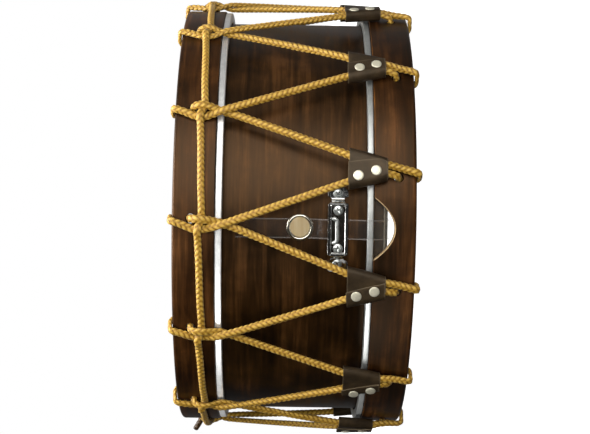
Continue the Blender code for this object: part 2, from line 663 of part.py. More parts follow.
def make_throwoff(chrome, black):
    m = frame_at(180.0, 0.0, 0.0)
    z0, z1 = TO_Z
    pn, pz = TO_PIVOT
    # channel: a plate on the shell with two side cheeks
    bm = bmesh.new()
    u = [(-13.0, 178.15), (13.0, 178.15), (13.0, 191.0), (11.4, 191.0),
         (11.4, 179.75), (-11.4, 179.75), (-11.4, 191.0), (-13.0, 191.0)]
    a = [bm.verts.new(m @ Vector((t, n, z0))) for t, n in u]
    b = [bm.verts.new(m @ Vector((t, n, z1))) for t, n in u]
    for i in range(len(u)):
        j = (i + 1) % len(u)
        bm.faces.new((a[i], a[j], b[j], b[i]))
    for side in (a, b):
        bm.faces.new((side[0], side[1], side[4], side[5]))
        bm.faces.new((side[1], side[2], side[3], side[4]))
        bm.faces.new((side[0], side[5], side[6], side[7]))
    br = add_object("throwoff_bracket", bm, chrome, smooth=30.0)
    cut = bmesh.new()
    # cheeks stand back from both ends of the plate
    box(cut, m, (-20.0, 179.75, z0 - 5.0), (20.0, 200.0, 63.0))
    box(cut, m, (-20.0, 179.75, 113.0), (20.0, 200.0, z1 + 5.0))
    cross = m @ Matrix.Translation((0.0, pn, pz)) @ Matrix.Rotation(
        math.radians(90), 4, "Y")
    add_cone(cut, cross, 2.3, 2.3, 40.0, 10)
    boolean(br, cutter("throwoff_bracket_cut", cut))

    # slide between the cheeks, carried down by the lever
    slide = joint_empty("throwoff_slide_axis", m @ Vector((0, 188.6, 80.0)))
    bm = bmesh.new()
    box(bm, m, (-10.9, 180.1, 65.0), (10.9, 192.6, 92.6), bevel=1.0)
    ca = add_object("throwoff_carriage", bm, chrome, smooth=30.0,
                    parent=slide)
    cut = bmesh.new()
    add_cone(cut, m @ Matrix.Translation((0.0, TO_SCREW_N, 79.0)), 2.8, 2.8,
             40.0, 10)
    tool = cutter("throwoff_carriage_bore", cut)
    boolean(ca, tool)

    # clamp that holds the strap, below the slide
    bm = bmesh.new()
    box(bm, m, (-10.5, 181.0, 54.5), (10.5, 192.2, 64.0), bevel=0.9)
    cl = add_object("throwoff_clamp", bm, chrome, smooth=30.0, parent=slide)
    cut = bmesh.new()
    add_cone(cut, m @ Matrix.Translation((0.0, TO_SCREW_N, 66.0)), 2.6, 2.6,
             17.0, 10)
    box(cut, m, (-8.6, 183.75, 50.0), (8.6, 184.85, 61.6))
    boolean(cl, cutter("throwoff_clamp_cut", cut))

    # thumb screw: knurled head and threaded stem in one
    bm = bmesh.new()
    k = m @ Matrix.Translation((0.0, TO_SCREW_N, 0.0))
    turned(bm, k, [(0.0, 58.5), (2.2, 58.5), (2.2, 93.0), (7.2, 93.0),
                   (7.7, 93.8), (7.7, 99.6), (7.0, 100.6), (0.0, 100.6)], 14)
    add_object("throwoff_knob", bm, chrome, smooth=40.0, parent=slide)

    # lever with its cross pin, standing up along the drum when engaged
    hinge = joint_empty("throwoff_lever_axis", m @ Vector((0, pn, pz)))
    bm = bmesh.new()
    side = [(182.9, 104.2, 10.6), (190.1, 104.2, 10.6), (191.6, 108.0, 10.6),
            (191.2, 112.5, 10.6), (190.0, 116.0, 6.4), (189.6, 122.0, 5.6),
            (192.2, 126.0, 5.4), (190.4, 127.0, 5.4), (187.0, 123.6, 5.4),
            (186.6, 116.0, 6.4), (184.2, 112.5, 10.6), (182.0, 108.0, 10.6)]
    rows = []
    for sx in (-1, 1):
        rows.append([bm.verts.new(m @ Vector((sx * w, n, z)))
                     for n, z, w in side])
    bm.faces.new(rows[0])
    bm.faces.new(list(reversed(rows[1])))
    for i in range(len(side)):
        j = (i + 1) % len(side)
        bm.faces.new((rows[0][j], rows[0][i], rows[1][i], rows[1][j]))
    bmesh.ops.connect_verts_concave(bm, faces=[f for f in bm.faces
                                               if len(f.verts) > 4])
    lever = add_object("throwoff_lever", bm, chrome, smooth=30.0,
                       parent=hinge)
    bm = bmesh.new()
    add_cone(bm, cross, 1.9, 1.9, 26.6, 10)
    pin = cutter("throwoff_lever_pin", bm)
    boolean(lever, pin, "UNION")


def main():
    clear_scene()
    wood = material("stained_wood", (0.055, 0.03, 0.018), 0.45)
    alu = material("satin_aluminium", (0.82, 0.82, 0.8), 0.3, 1.0)
    film = material("head_film", (0.75, 0.76, 0.76), 0.35, 0.0, 0.5)
    golden = material("golden_rope", (0.56, 0.33, 0.07), 0.85)
    leather = material("brown_leather", (0.05, 0.03, 0.022), 0.55)
    nickel = material("nickel", (0.75, 0.72, 0.64), 0.2, 1.0)
    chrome = material("chrome", (0.75, 0.76, 0.78), 0.12, 1.0)
    clear = material("clear_plastic", (0.8, 0.82, 0.85), 0.2, 0.0, 0.3)
    steel = material("snare_steel", (0.6, 0.6, 0.6), 0.3, 1.0)

    make_shell(wood)
    make_hoops(wood)
    make_flesh_hoops(alu)
    make_heads(film)
    rope("tension_rope", tension_route(), golden)
    rope("woven_rope", woven_route(), golden)
    make_ears(leather, nickel)
    make_vent(nickel)
    make_butt(chrome)
    make_straps(clear)
    make_snares(steel)
    make_throwoff(chrome, leather)


main()
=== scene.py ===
import math

import bpy
import numpy as np
from mathutils import Matrix, Vector


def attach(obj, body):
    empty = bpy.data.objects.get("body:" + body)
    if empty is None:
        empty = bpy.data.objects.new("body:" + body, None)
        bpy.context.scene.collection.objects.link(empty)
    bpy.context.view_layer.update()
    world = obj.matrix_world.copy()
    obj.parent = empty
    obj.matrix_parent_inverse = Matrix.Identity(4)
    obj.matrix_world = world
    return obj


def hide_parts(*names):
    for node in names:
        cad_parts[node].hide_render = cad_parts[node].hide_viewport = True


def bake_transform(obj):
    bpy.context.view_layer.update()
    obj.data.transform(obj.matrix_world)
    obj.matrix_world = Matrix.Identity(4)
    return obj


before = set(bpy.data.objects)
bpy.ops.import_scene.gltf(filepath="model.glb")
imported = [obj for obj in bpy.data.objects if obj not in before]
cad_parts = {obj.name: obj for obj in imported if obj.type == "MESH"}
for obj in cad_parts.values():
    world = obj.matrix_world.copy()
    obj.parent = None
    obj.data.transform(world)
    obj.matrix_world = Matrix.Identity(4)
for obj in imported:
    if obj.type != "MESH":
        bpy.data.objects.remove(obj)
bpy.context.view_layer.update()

# ------------------------------------------------------------- dimensions, mm
HOOP_R, HOOP_RI = 188.9, 179.0
SHELL_R, SHELL_RI = 177.8, 171.8
FLESH_R, FLESH_RI = 187.6, 179.1
FILM_R, FILM_T = 178.15, 0.4
Z_RIM_S, Z_EDGE_S = 4.1, 38.1
Z_EDGE_B, Z_RIM_B = 165.5, 199.7
Z_FLESH_S, Z_FLESH_B = (38.4, 43.3), (159.8, 165.2)
Z_SHELL = (27.7, 175.7)
GATE_HALF, GATE_DEPTH = 25.0, 16.9
N_EAR, PITCH, BATTER_SHIFT = 12, 28.0, 0.55
MM_PER_DEG = 3.356
Z_HOLE_B, Z_HOLE_S, HOLE_R = 184.9, 18.7, 3.9
HOLE_A_B, HOLE_A_S = 4.4, -4.8
EAR_ROPE_R = HOOP_R + 5.9
EAR_Z = (28.2, 59.6)
ROPE_R = 3.1
VENT_Z, VENT_OR, VENT_IR = 97.2, 10.75, 8.0
BUTT_Z, BUTT_HALF_Z, BUTT_CLAMP_T, BUTT_MOUNT_DEG = 66.7, 8.2, 15.3, 9.06
STRAP_HALF, STRAP_T, STRAP_LIE = 8.0, 0.5, 178.75
BUTT_DEG = -0.3
EAR_TURN = {-4: -6.0, -5: -3.0}
LOOSE_K, LOOSE_DEG = -3, -92.0


# -------------------------------------------------------------- small helpers
def polar(r, deg, z):
    a = math.radians(deg)
    return np.array((r * math.sin(a), -r * math.cos(a), z))


def at(deg, arc, r, z):
    return polar(r, deg + arc / MM_PER_DEG, z)


def local(deg, t, n, z):
    """Flat frame at an angle: t along the round, n outwards, z up."""
    a = math.radians(deg)
    return np.array((t * math.cos(a) + n * math.sin(a),
                     t * math.sin(a) - n * math.cos(a), z))


def rand(seed):
    return np.random.default_rng(seed)


def new_object(name, verts, faces, mats, mat_index=None, smooth=True,
               sharp=None, recalc=False):
    me = bpy.data.meshes.new(name)
    me.from_pydata((np.asarray(verts, float) / 1000.0).tolist(), [],
                   [tuple(int(i) for i in f) for f in faces])
    for m in (mats if isinstance(mats, (list, tuple)) else [mats]):
        me.materials.append(m)
    if mat_index is not None:
        me.polygons.foreach_set("material_index", mat_index)
    if recalc:
        import bmesh
        bm = bmesh.new()
        bm.from_mesh(me)
        bmesh.ops.recalc_face_normals(bm, faces=bm.faces)
        bm.to_mesh(me)
        bm.free()
    me.polygons.foreach_set("use_smooth", [smooth] * len(me.polygons))
    if smooth and sharp:
        me.set_sharp_from_angle(angle=math.radians(sharp))
    me.update()
    ob = bpy.data.objects.new(name, me)
    bpy.context.scene.collection.objects.link(ob)
    return ob


def float_attribute(ob, name, values):
    at_ = ob.data.attributes.new(name, "FLOAT", "POINT")
    at_.data.foreach_set("value", np.asarray(values, np.float32).ravel())


def vector_attribute(ob, name, values):
    at_ = ob.data.attributes.new(name, "FLOAT_VECTOR", "POINT")
    at_.data.foreach_set("vector", np.asarray(values, np.float32).ravel())


def fillet(points, radii, steps=4):
    """A closed outline with its corners rounded."""
    out, n = [], len(points)
    for i, (p, r) in enumerate(zip(points, radii)):
        p = np.array(p, float)
        if r <= 0:
            out.append(p)
            continue
        a = np.array(points[i - 1], float) - p
        b = np.array(points[(i + 1) % n], float) - p
        la, lb = np.linalg.norm(a), np.linalg.norm(b)
        u, v = a / la, b / lb
        ang = math.acos(max(-1.0, min(1.0, float(u @ v))))
        if ang > math.pi - 0.02:
            out.append(p)
            continue
        d = min(r / math.tan(ang / 2), 0.48 * la, 0.48 * lb)
        rr = d * math.tan(ang / 2)
        c = p + (u + v) / np.linalg.norm(u + v) * rr / math.sin(ang / 2)
        s, e = p + u * d - c, p + v * d - c
        om = math.pi - ang
        for k in range(steps + 1):
            f = k / steps
            out.append(c + (math.sin((1 - f) * om) * s + math.sin(f * om) * e)
                       / math.sin(om))
    return [tuple(q) for q in out]


def ring(name, profile, mats, segs=256, sharp=35.0):
    """A closed (r, z) outline turned about the drum's axis."""
    m = len(profile)
    pr = np.array(profile, float)
    th = np.arange(segs) * 2 * math.pi / segs
    v = np.stack([np.outer(np.sin(th), pr[:, 0]),
                  -np.outer(np.cos(th), pr[:, 0]),
                  np.broadcast_to(pr[:, 1], (segs, m))], -1).reshape(-1, 3)
    faces = []
    for i in range(segs):
        j = (i + 1) % segs
        for k in range(m):
            q = (k + 1) % m
            faces.append((i * m + k, j * m + k, j * m + q, i * m + q))
    return new_object(name, v, faces, mats, sharp=sharp, recalc=True)


def radial_basis(deg, z, t=0.0):
    """Origin on the drum's axis, columns: drum axis, round, outwards."""
    a = math.radians(deg)
    out = np.array((math.sin(a), -math.cos(a), 0.0))
    along = np.array((0.0, 0.0, 1.0))
    side = np.array((math.cos(a), math.sin(a), 0.0))
    return np.array((0.0, 0.0, z)) + side * t, along, side, out


def turned(name, base, profile, mats, segs=48, sharp=35.0):
    """A (r, h) outline turned about the outward line of a radial basis."""
    o, e1, e2, e3 = base
    verts, rows = [], []
    for r, h in profile:
        if r < 1e-6:
            rows.append([len(verts)])
            verts.append(o + e3 * h)
        else:
            row = []
            for i in range(segs):
                a = 2 * math.pi * i / segs
                row.append(len(verts))
                verts.append(o + e3 * h + r * (math.cos(a) * e1
                                               + math.sin(a) * e2))
            rows.append(row)
    closed = len(rows[0]) > 1 and len(rows[-1]) > 1
    faces = []
    pairs = list(zip(rows[:-1], rows[1:]))
    if closed:
        pairs.append((rows[-1], rows[0]))
    for a, b in pairs:
        for i in range(segs):
            j = (i + 1) % segs
            if len(a) == 1:
                faces.append((a[0], b[i], b[j]))
            elif len(b) == 1:
                faces.append((a[i], a[j], b[0]))
            else:
                faces.append((a[i], a[j], b[j], b[i]))
    return new_object(name, verts, faces, mats, sharp=sharp, recalc=True)


def cylinder_mesh(items, sides=24):
    """Cutter cylinders: items are (basis, radius, h0, h1)."""
    verts, faces = [], []
    for (o, e1, e2, e3), r, h0, h1 in items:
        b = len(verts)
        for h in (h0, h1):
            for i in range(sides):
                a = 2 * math.pi * i / sides
                verts.append(o + e3 * h + r * (math.cos(a) * e1
                                               + math.sin(a) * e2))
        faces.append([b + i for i in range(sides)])
        faces.append([b + sides + i for i in reversed(range(sides))])
        for i in range(sides):
            j = (i + 1) % sides
            faces.append((b + j, b + i, b + sides + i, b + sides + j))
    return verts, faces


def cut(ob, verts, faces, mats, index=1, sharp=35.0):
    """Cuts ob with closed shapes; the cut faces take material `index`."""
    tool = new_object("tool", verts, faces, mats,
                      mat_index=[index] * len(faces), recalc=True)
    mod = ob.modifiers.new("cut", "BOOLEAN")
    mod.operation, mod.solver, mod.object = "DIFFERENCE", "EXACT", tool
    dg = bpy.context.evaluated_depsgraph_get()
    me = bpy.data.meshes.new_from_object(ob.evaluated_get(dg))
    ob.modifiers.clear()
    ob.data = me
    me.polygons.foreach_set("use_smooth", [True] * len(me.polygons))
    me.set_sharp_from_angle(angle=math.radians(sharp))
    bpy.data.objects.remove(tool)
    return ob


def loft(rings, close_ends=True):
    """Faces between equal rings of points (lists of 3-D points)."""
    verts = [p for r in rings for p in r]
    n, faces = len(rings[0]), []
    for i in range(len(rings) - 1):
        for k in range(n):
            q = (k + 1) % n
            faces.append((i * n + k, i * n + q, (i + 1) * n + q,
                          (i + 1) * n + k))
    if close_ends:
        faces.append(tuple(range(n)))
        faces.append(tuple(reversed(range(len(verts) - n, len(verts)))))
    return verts, faces


# ------------------------------------------------------------------ materials
def lin(rgb):
    out = []
    for c in rgb:
        c = c / 255.0
        out.append(c / 12.92 if c <= 0.04045 else ((c + 0.055) / 1.055) ** 2.4)
    return (*out, 1.0)


class Shader:
    """A material with a Principled surface and a few short-hands."""

    def __init__(self, name):
        self.mat = bpy.data.materials.new(name)
        self.mat.use_nodes = True
        self.tree = self.mat.node_tree
        self.bsdf = self.tree.nodes["Principled BSDF"]

    def node(self, kind, **props):
        n = self.tree.nodes.new(kind)
        for k, v in props.items():
            setattr(n, k, v)
        return n

    def link(self, a, b):
        self.tree.links.new(a, b)

    def put(self, socket, value):
        if hasattr(value, "is_output") or isinstance(
                value, bpy.types.NodeSocket):
            self.link(value, socket)
        else:
            socket.default_value = value

    def set(self, **kw):
        for k, v in kw.items():
            self.put(self.bsdf.inputs[k.replace("_", " ")], v)

    def coords(self, kind="Object"):
        return self.node("ShaderNodeTexCoord").outputs[kind]

    def math(self, op, a, b=0.0, clamp=False):
        n = self.node("ShaderNodeMath", operation=op, use_clamp=clamp)
        self.put(n.inputs[0], a)
        self.put(n.inputs[1], b)
        return n.outputs[0]

    def xyz(self, v):
        n = self.node("ShaderNodeSeparateXYZ")
        self.link(v, n.inputs[0])
        return n.outputs

    def vec(self, x, y, z):
        n = self.node("ShaderNodeCombineXYZ")
        for s, v in zip(n.inputs, (x, y, z)):
            self.put(s, v)
        return n.outputs[0]

    def scaled(self, v, s):
        n = self.node("ShaderNodeVectorMath", operation="MULTIPLY")
        self.put(n.inputs[0], v)
        n.inputs[1].default_value = s
        return n.outputs[0]

    def noise(self, v, scale=1.0, detail=3.0, rough=0.55, distort=0.0):
        n = self.node("ShaderNodeTexNoise")
        if v is not None:
            self.link(v, n.inputs["Vector"])
        n.inputs["Scale"].default_value = scale
        n.inputs["Detail"].default_value = detail
        n.inputs["Roughness"].default_value = rough
        n.inputs["Distortion"].default_value = distort
        return n.outputs[0]

    def ramp(self, fac, stops, interp="LINEAR"):
        n = self.node("ShaderNodeValToRGB")
        n.color_ramp.interpolation = interp
        el = n.color_ramp.elements
        while len(el) < len(stops):
            el.new(0.5)
        for e, (pos, col) in zip(el, stops):
            e.position = pos
            e.color = lin(col) if len(col) == 3 else col
        self.put(n.inputs[0], fac)
        return n.outputs[0]

    def span(self, fac, lo, hi, a=0.0, b=1.0):
        n = self.node("ShaderNodeMapRange")
        n.clamp = True
        self.put(n.inputs["Value"], fac)
        for k, v in (("From Min", lo), ("From Max", hi), ("To Min", a),
                     ("To Max", b)):
            self.put(n.inputs[k], v)
        return n.outputs[0]

    def mix(self, fac, a, b, blend="MIX"):
        n = self.node("ShaderNodeMix", data_type="RGBA", blend_type=blend)
        self.put(n.inputs[0], fac)
        self.put(n.inputs[6], a)
        self.put(n.inputs[7], b)
        return n.outputs[2]

    def attr(self, name, out="Fac"):
        n = self.node("ShaderNodeAttribute")
        n.attribute_name = name
        return n.outputs[out]

    def bump(self, height, strength, distance, normal=None):
        n = self.node("ShaderNodeBump")
        n.inputs["Strength"].default_value = strength
        n.inputs["Distance"].default_value = distance
        self.put(n.inputs["Height"], height)
        if normal is not None:
            self.link(normal, n.inputs["Normal"])
        return n.outputs[0]


def wood_material(name, shade=1.0, red=0.0):
    """Dark stained ply, its grain running round the drum."""
    s = Shader(name)
    x, y, z = s.xyz(s.coords())
    r = s.math("SQRT", s.math("ADD", s.math("MULTIPLY", x, x),
                              s.math("MULTIPLY", y, y)))
    h = s.math("ADD", z, s.math("MULTIPLY", r, 0.85))

    def grain(fx, fz, detail, rough=0.6, distort=0.0):
        return s.noise(s.vec(s.math("MULTIPLY", x, fx),
                             s.math("MULTIPLY", y, fx),
                             s.math("MULTIPLY", h, fz)),
                       1.0, detail, rough, distort)

    broad = grain(6.0, 62.0, 3.0, 0.55, 0.5)
    fine = grain(15.0, 330.0, 4.0, 0.6)
    pores = grain(70.0, 1900.0, 2.0, 0.5)
    figure = s.noise(s.coords(), 26.0, 4.0, 0.6, 0.5)
    f = s.math("ADD", s.math("MULTIPLY", broad, 0.40),
               s.math("MULTIPLY", fine, 0.30))
    f = s.math("ADD", f, s.math("MULTIPLY", figure, 0.30))
    k = shade
    col = s.ramp(f, [
        (0.41, (15 * k, 8 * k, 3 * k)),
        (0.48, (28 * k + red, 16 * k, 5 * k)),
        (0.54, (44 * k + red, 27 * k, 10 * k)),
        (0.61, (68 * k + red, 43 * k, 20 * k))])
    dark = s.span(pores, 0.60, 0.74)
    col = s.mix(s.math("MULTIPLY", dark, 0.5), col,
                lin((13 * k, 7 * k, 3 * k)))
    s.set(Base_Color=col,
          Roughness=s.span(s.math("ADD", f, s.math("MULTIPLY", pores, 0.2)),
                           0.4, 0.8, 0.34, 0.46))
    height = s.math("SUBTRACT", s.math("MULTIPLY", fine, 0.6),
                    s.math("MULTIPLY", dark, 0.7))
    s.set(Normal=s.bump(height, 0.22, 0.00012))
    s.bsdf.inputs["Specular IOR Level"].default_value = 0.38
    s.bsdf.inputs["Specular Tint"].default_value = (1.0, 0.60, 0.34, 1.0)
    return s.mat


def raw_wood_material():
    s = Shader("raw_ply")
    x, y, z = s.xyz(s.coords())
    r = s.math("SQRT", s.math("ADD", s.math("MULTIPLY", x, x),
                              s.math("MULTIPLY", y, y)))
    ply = s.noise(s.vec(s.math("MULTIPLY", r, 1300.0),
                        s.math("MULTIPLY", x, 12.0),
                        s.math("MULTIPLY", y, 12.0)), 1.0, 2.0, 0.5)
    fleck = s.noise(s.coords(), 900.0, 3.0, 0.6)
    f = s.math("ADD", s.math("MULTIPLY", ply, 0.7),
               s.math("MULTIPLY", fleck, 0.3))
    s.set(Base_Color=s.ramp(f, [(0.35, (150, 122, 84)), (0.5, (178, 150, 108)),
                                (0.65, (200, 175, 134))]),
          Roughness=s.span(fleck, 0.3, 0.7, 0.6, 0.8),
          Normal=s.bump(f, 0.3, 0.0001))
    return s.mat


def inner_wood_material():
    """The drum's inside: pale unstained ply."""
    s = Shader("inner_ply")
    x, y, z = s.xyz(s.coords())
    g = s.noise(s.vec(s.math("MULTIPLY", x, 14.0),
                      s.math("MULTIPLY", y, 14.0),
                      s.math("MULTIPLY", z, 260.0)), 1.0, 4.0, 0.6)
    fleck = s.noise(s.coords(), 700.0, 2.0, 0.6)
    s.set(Base_Color=s.ramp(g, [(0.35, (232, 208, 160)), (0.5, (243, 222, 176)),
                                (0.66, (250, 233, 196))]),
          Roughness=s.span(fleck, 0.3, 0.7, 0.5, 0.7),
          Normal=s.bump(g, 0.2, 0.0001))
    return s.mat


def rope_material():
    s = Shader("golden_braid")
    relief = s.attr("relief")
    fibre = s.attr("fibre", "Vector")
    thread = s.noise(fibre, 1.0, 2.0, 0.6)
    patch = s.noise(s.coords(), 130.0, 3.0, 0.6)
    # painted crease shade and painted highlight: the colour darkens with the
    # relief into the creases between strands and lightens on the strand tops,
    # over the mesh's real bulges; the relief also carries the darkened loose
    # end
    tone = s.math("ADD", relief, s.math("MULTIPLY",
                                        s.math("SUBTRACT", thread, 0.5), 0.55))
    tone = s.math("ADD", tone, s.math("MULTIPLY",
                                      s.math("SUBTRACT", patch, 0.5), 0.30))
    col = s.ramp(tone, [
        (0.02, (58, 37, 7)), (0.26, (106, 72, 16)),
        (0.50, (144, 105, 28)), (0.76, (172, 132, 44)),
        (0.98, (202, 164, 72))])
    s.set(Base_Color=col, Roughness=s.span(thread, 0.3, 0.7, 0.42, 0.62),
          Normal=s.bump(thread, 0.5, 0.00022))
    s.bsdf.inputs["Sheen Weight"].default_value = 0.12
    s.bsdf.inputs["Sheen Roughness"].default_value = 0.4
    return s.mat


def leather_material():
    s = Shader("brown_leather")
    co = s.coords()
    mottle = s.noise(co, 95.0, 4.0, 0.6, 0.5)
    pebble = s.noise(co, 1500.0, 3.0, 0.6)
    crease = s.noise(s.scaled(co, (260.0, 260.0, 120.0)), 1.0, 3.0, 0.5, 1.2)
    edge = s.attr("edge")
    col = s.ramp(mottle, [(0.34, (34, 26, 17)), (0.5, (46, 36, 24)),
                          (0.66, (58, 46, 31))])
    col = s.mix(s.math("MULTIPLY", s.span(pebble, 0.45, 0.75), 0.25), col,
                lin((76, 63, 45)))
    worn = s.math("MULTIPLY", s.span(edge, 0.35, 1.0),
                  s.span(mottle, 0.3, 0.6, 0.55, 1.0))
    col = s.mix(worn, col, lin((92, 80, 62)))
    s.set(Base_Color=col,
          Roughness=s.span(pebble, 0.3, 0.7, 0.42, 0.6),
          Normal=s.bump(s.math("ADD", pebble,
                               s.math("MULTIPLY", crease, 0.35)),
                        0.25, 0.00014))
    s.bsdf.inputs["Specular IOR Level"].default_value = 0.4
    s.bsdf.inputs["Specular Tint"].default_value = (1.0, 0.82, 0.62, 1.0)
    return s.mat


def metal_material(name, rgb, rough, spread=0.08, scratch=0.15, metallic=1.0,
                   brushed=None):
    s = Shader(name)
    co = s.coords()
    haze = s.noise(co, 220.0, 3.0, 0.6)
    if brushed == "round":
        x, y, z = s.xyz(co)
        line = s.noise(s.vec(s.math("MULTIPLY", x, 20.0),
                             s.math("MULTIPLY", y, 20.0),
                             s.math("MULTIPLY", z, 3800.0)), 1.0, 2.0, 0.5)
    else:
        line = s.noise(s.scaled(co, (300.0, 300.0, 2600.0)), 1.0, 2.0, 0.6)
    a = tuple(c * 0.93 for c in rgb)
    s.set(Base_Color=s.ramp(haze, [(0.35, a), (0.65, rgb)]),
          Metallic=metallic,
          Roughness=s.span(s.math("ADD", haze,
                                  s.math("MULTIPLY", line, 0.5)),
                           0.5, 1.0, rough, rough + spread),
          Normal=s.bump(line, scratch, 0.00004))
    return s.mat


def film_material(name, rgb, alpha, rough, edge_alpha=None, edge_highlight_rgb=None):
    """Thin clear or coated film."""
    s = Shader(name)
    co = s.coords()
    haze = s.noise(co, 28.0, 4.0, 0.6, 0.4)
    scuff = s.noise(co, 900.0, 3.0, 0.7)
    dark = tuple(c * 0.92 for c in rgb)
    col = s.ramp(haze, [(0.35, dark), (0.65, rgb)])
    al = s.span(haze, 0.35, 0.65, alpha * 0.85, min(1.0, alpha * 1.15))
    # edges, when asked for, are drawn more opaque, as film seen edge-on, and in
    # a lighter colour: a painted highlight
    if edge_alpha is not None:
        edge = s.span(s.attr("edge"), 0.4, 0.9)
        al = s.math("ADD", s.math("MULTIPLY", al,
                                  s.math("SUBTRACT", 1.0, edge)),
                    s.math("MULTIPLY", edge, edge_alpha))
        col = s.mix(edge, col, lin(edge_highlight_rgb or rgb))
    s.set(Base_Color=col, Alpha=al,
          Roughness=s.span(scuff, 0.3, 0.7, rough, rough + 0.1),
          Normal=s.bump(scuff, 0.08, 0.00004))
    return s.mat


WOOD = wood_material("stained_walnut", 1.06)
HOOP_WOOD = wood_material("stained_hoop", 1.22, 3.0)
# a much lighter copy of the stained wood: painted highlight for the snare
# hoop's rim
RIM_HIGHLIGHT_WOOD = wood_material("painted_rim_highlight", 2.3)
RAW = raw_wood_material()
INNER = inner_wood_material()
ROPE = rope_material()
LEATHER = leather_material()
NICKEL = metal_material("polished_nickel", (222, 216, 200), 0.14, 0.10, 0.12)
CHROME = metal_material("chrome", (206, 206, 204), 0.09, 0.08, 0.06)
# a darker copy of chrome: painted dark reflection for the butt plate's middle
DARK_REFLECTION_CHROME = metal_material("chrome_painted_dark_reflection", (140, 134, 124), 0.12, 0.10,
                             0.08)
ALU = metal_material("satin_aluminium", (238, 238, 236), 0.34, 0.14, 0.35,
                     metallic=0.6, brushed="round")
# the snare flesh ring takes a greyer copy of the same aluminium: painted shade
# for its darker reflections
SHADED_RING_ALU = metal_material("aluminium_painted_shade", (176, 178, 175), 0.34, 0.12, 0.30,
                        metallic=0.7, brushed="round")
RIVET = metal_material("rivet_nickel", (222, 216, 192), 0.34, 0.12, 0.15,
                       metallic=0.45)
SCREW = metal_material("screw_zinc", (208, 212, 208), 0.24, 0.12, 0.10,
                       metallic=0.85)
STEEL = metal_material("snare_steel", (206, 206, 204), 0.18, 0.12, 0.2)
BATTER_FILM = film_material("hazy_film", (222, 222, 216), 0.32, 0.36)
# snare head and strap: their lighter edge colours are painted highlights along
# the film's shoulder and the strap's edges
SNARE_FILM = film_material("clear_film", (140, 136, 128), 0.08, 0.22, 0.36,
                           (176, 170, 156))
STRAP_FILM = film_material("clear_plastic", (112, 108, 104), 0.05, 0.16,
                           0.17, (170, 164, 158))


# --------------------------------------------------------------------- camera
def make_camera():
    """Beside the drum, its axis lying along the picture's width."""
    dist, turn, height, roll = 1228.9, math.radians(2.85), 109.6, \
        math.radians(0.886)
    back = Vector((math.sin(turn), -math.cos(turn), 0.0))
    up0 = Vector((math.cos(turn), math.sin(turn), 0.0))
    right0 = Vector((0.0, 0.0, -1.0))
    right = right0 * math.cos(roll) + up0 * math.sin(roll)
    up = up0 * math.cos(roll) - right0 * math.sin(roll)
    m = Matrix.Identity(4)
    for i, v in enumerate((right, up, back)):
        for k in range(3):
            m[k][i] = v[k]
    loc = back * dist + Vector((0.0, 0.0, height))
    for k in range(3):
        m[k][3] = loc[k] / 1000.0
    cam = bpy.data.cameras.new("camera")
    cam.sensor_width, cam.lens = 36.0, 79.70
    cam.shift_x, cam.shift_y = 0.0177, -0.0018
    cam.clip_start, cam.clip_end = 0.05, 50.0
    ob = bpy.data.objects.new("camera", cam)
    bpy.context.scene.collection.objects.link(ob)
    ob.matrix_world = m
    bpy.context.scene.camera = ob


make_camera()


# ---------------------------------------------------------------- wooden rings
def ear_angle(j):
    return PITCH / 2 + PITCH * j + EAR_TURN.get(j, 0.0)


def crossing_angle(k):
    if k == N_EAR // 2:
        return 180.0 + BATTER_SHIFT
    if k == LOOSE_K:
        return LOOSE_DEG
    return (ear_angle(k - 1) + ear_angle(k)) / 2 + BATTER_SHIFT


def woven_angle(k):
    turns, rest = divmod(k + N_EAR // 2 - 1, N_EAR)
    return crossing_angle(rest - N_EAR // 2 + 1) + 360.0 * turns


def paint_inside(ob, index, r_in):
    """Faces on the inner wall take another material."""
    for p in ob.data.polygons:
        c = p.center * 1000.0
        if math.hypot(c.x, c.y) < r_in:
            p.material_index = index


HOOPS = []


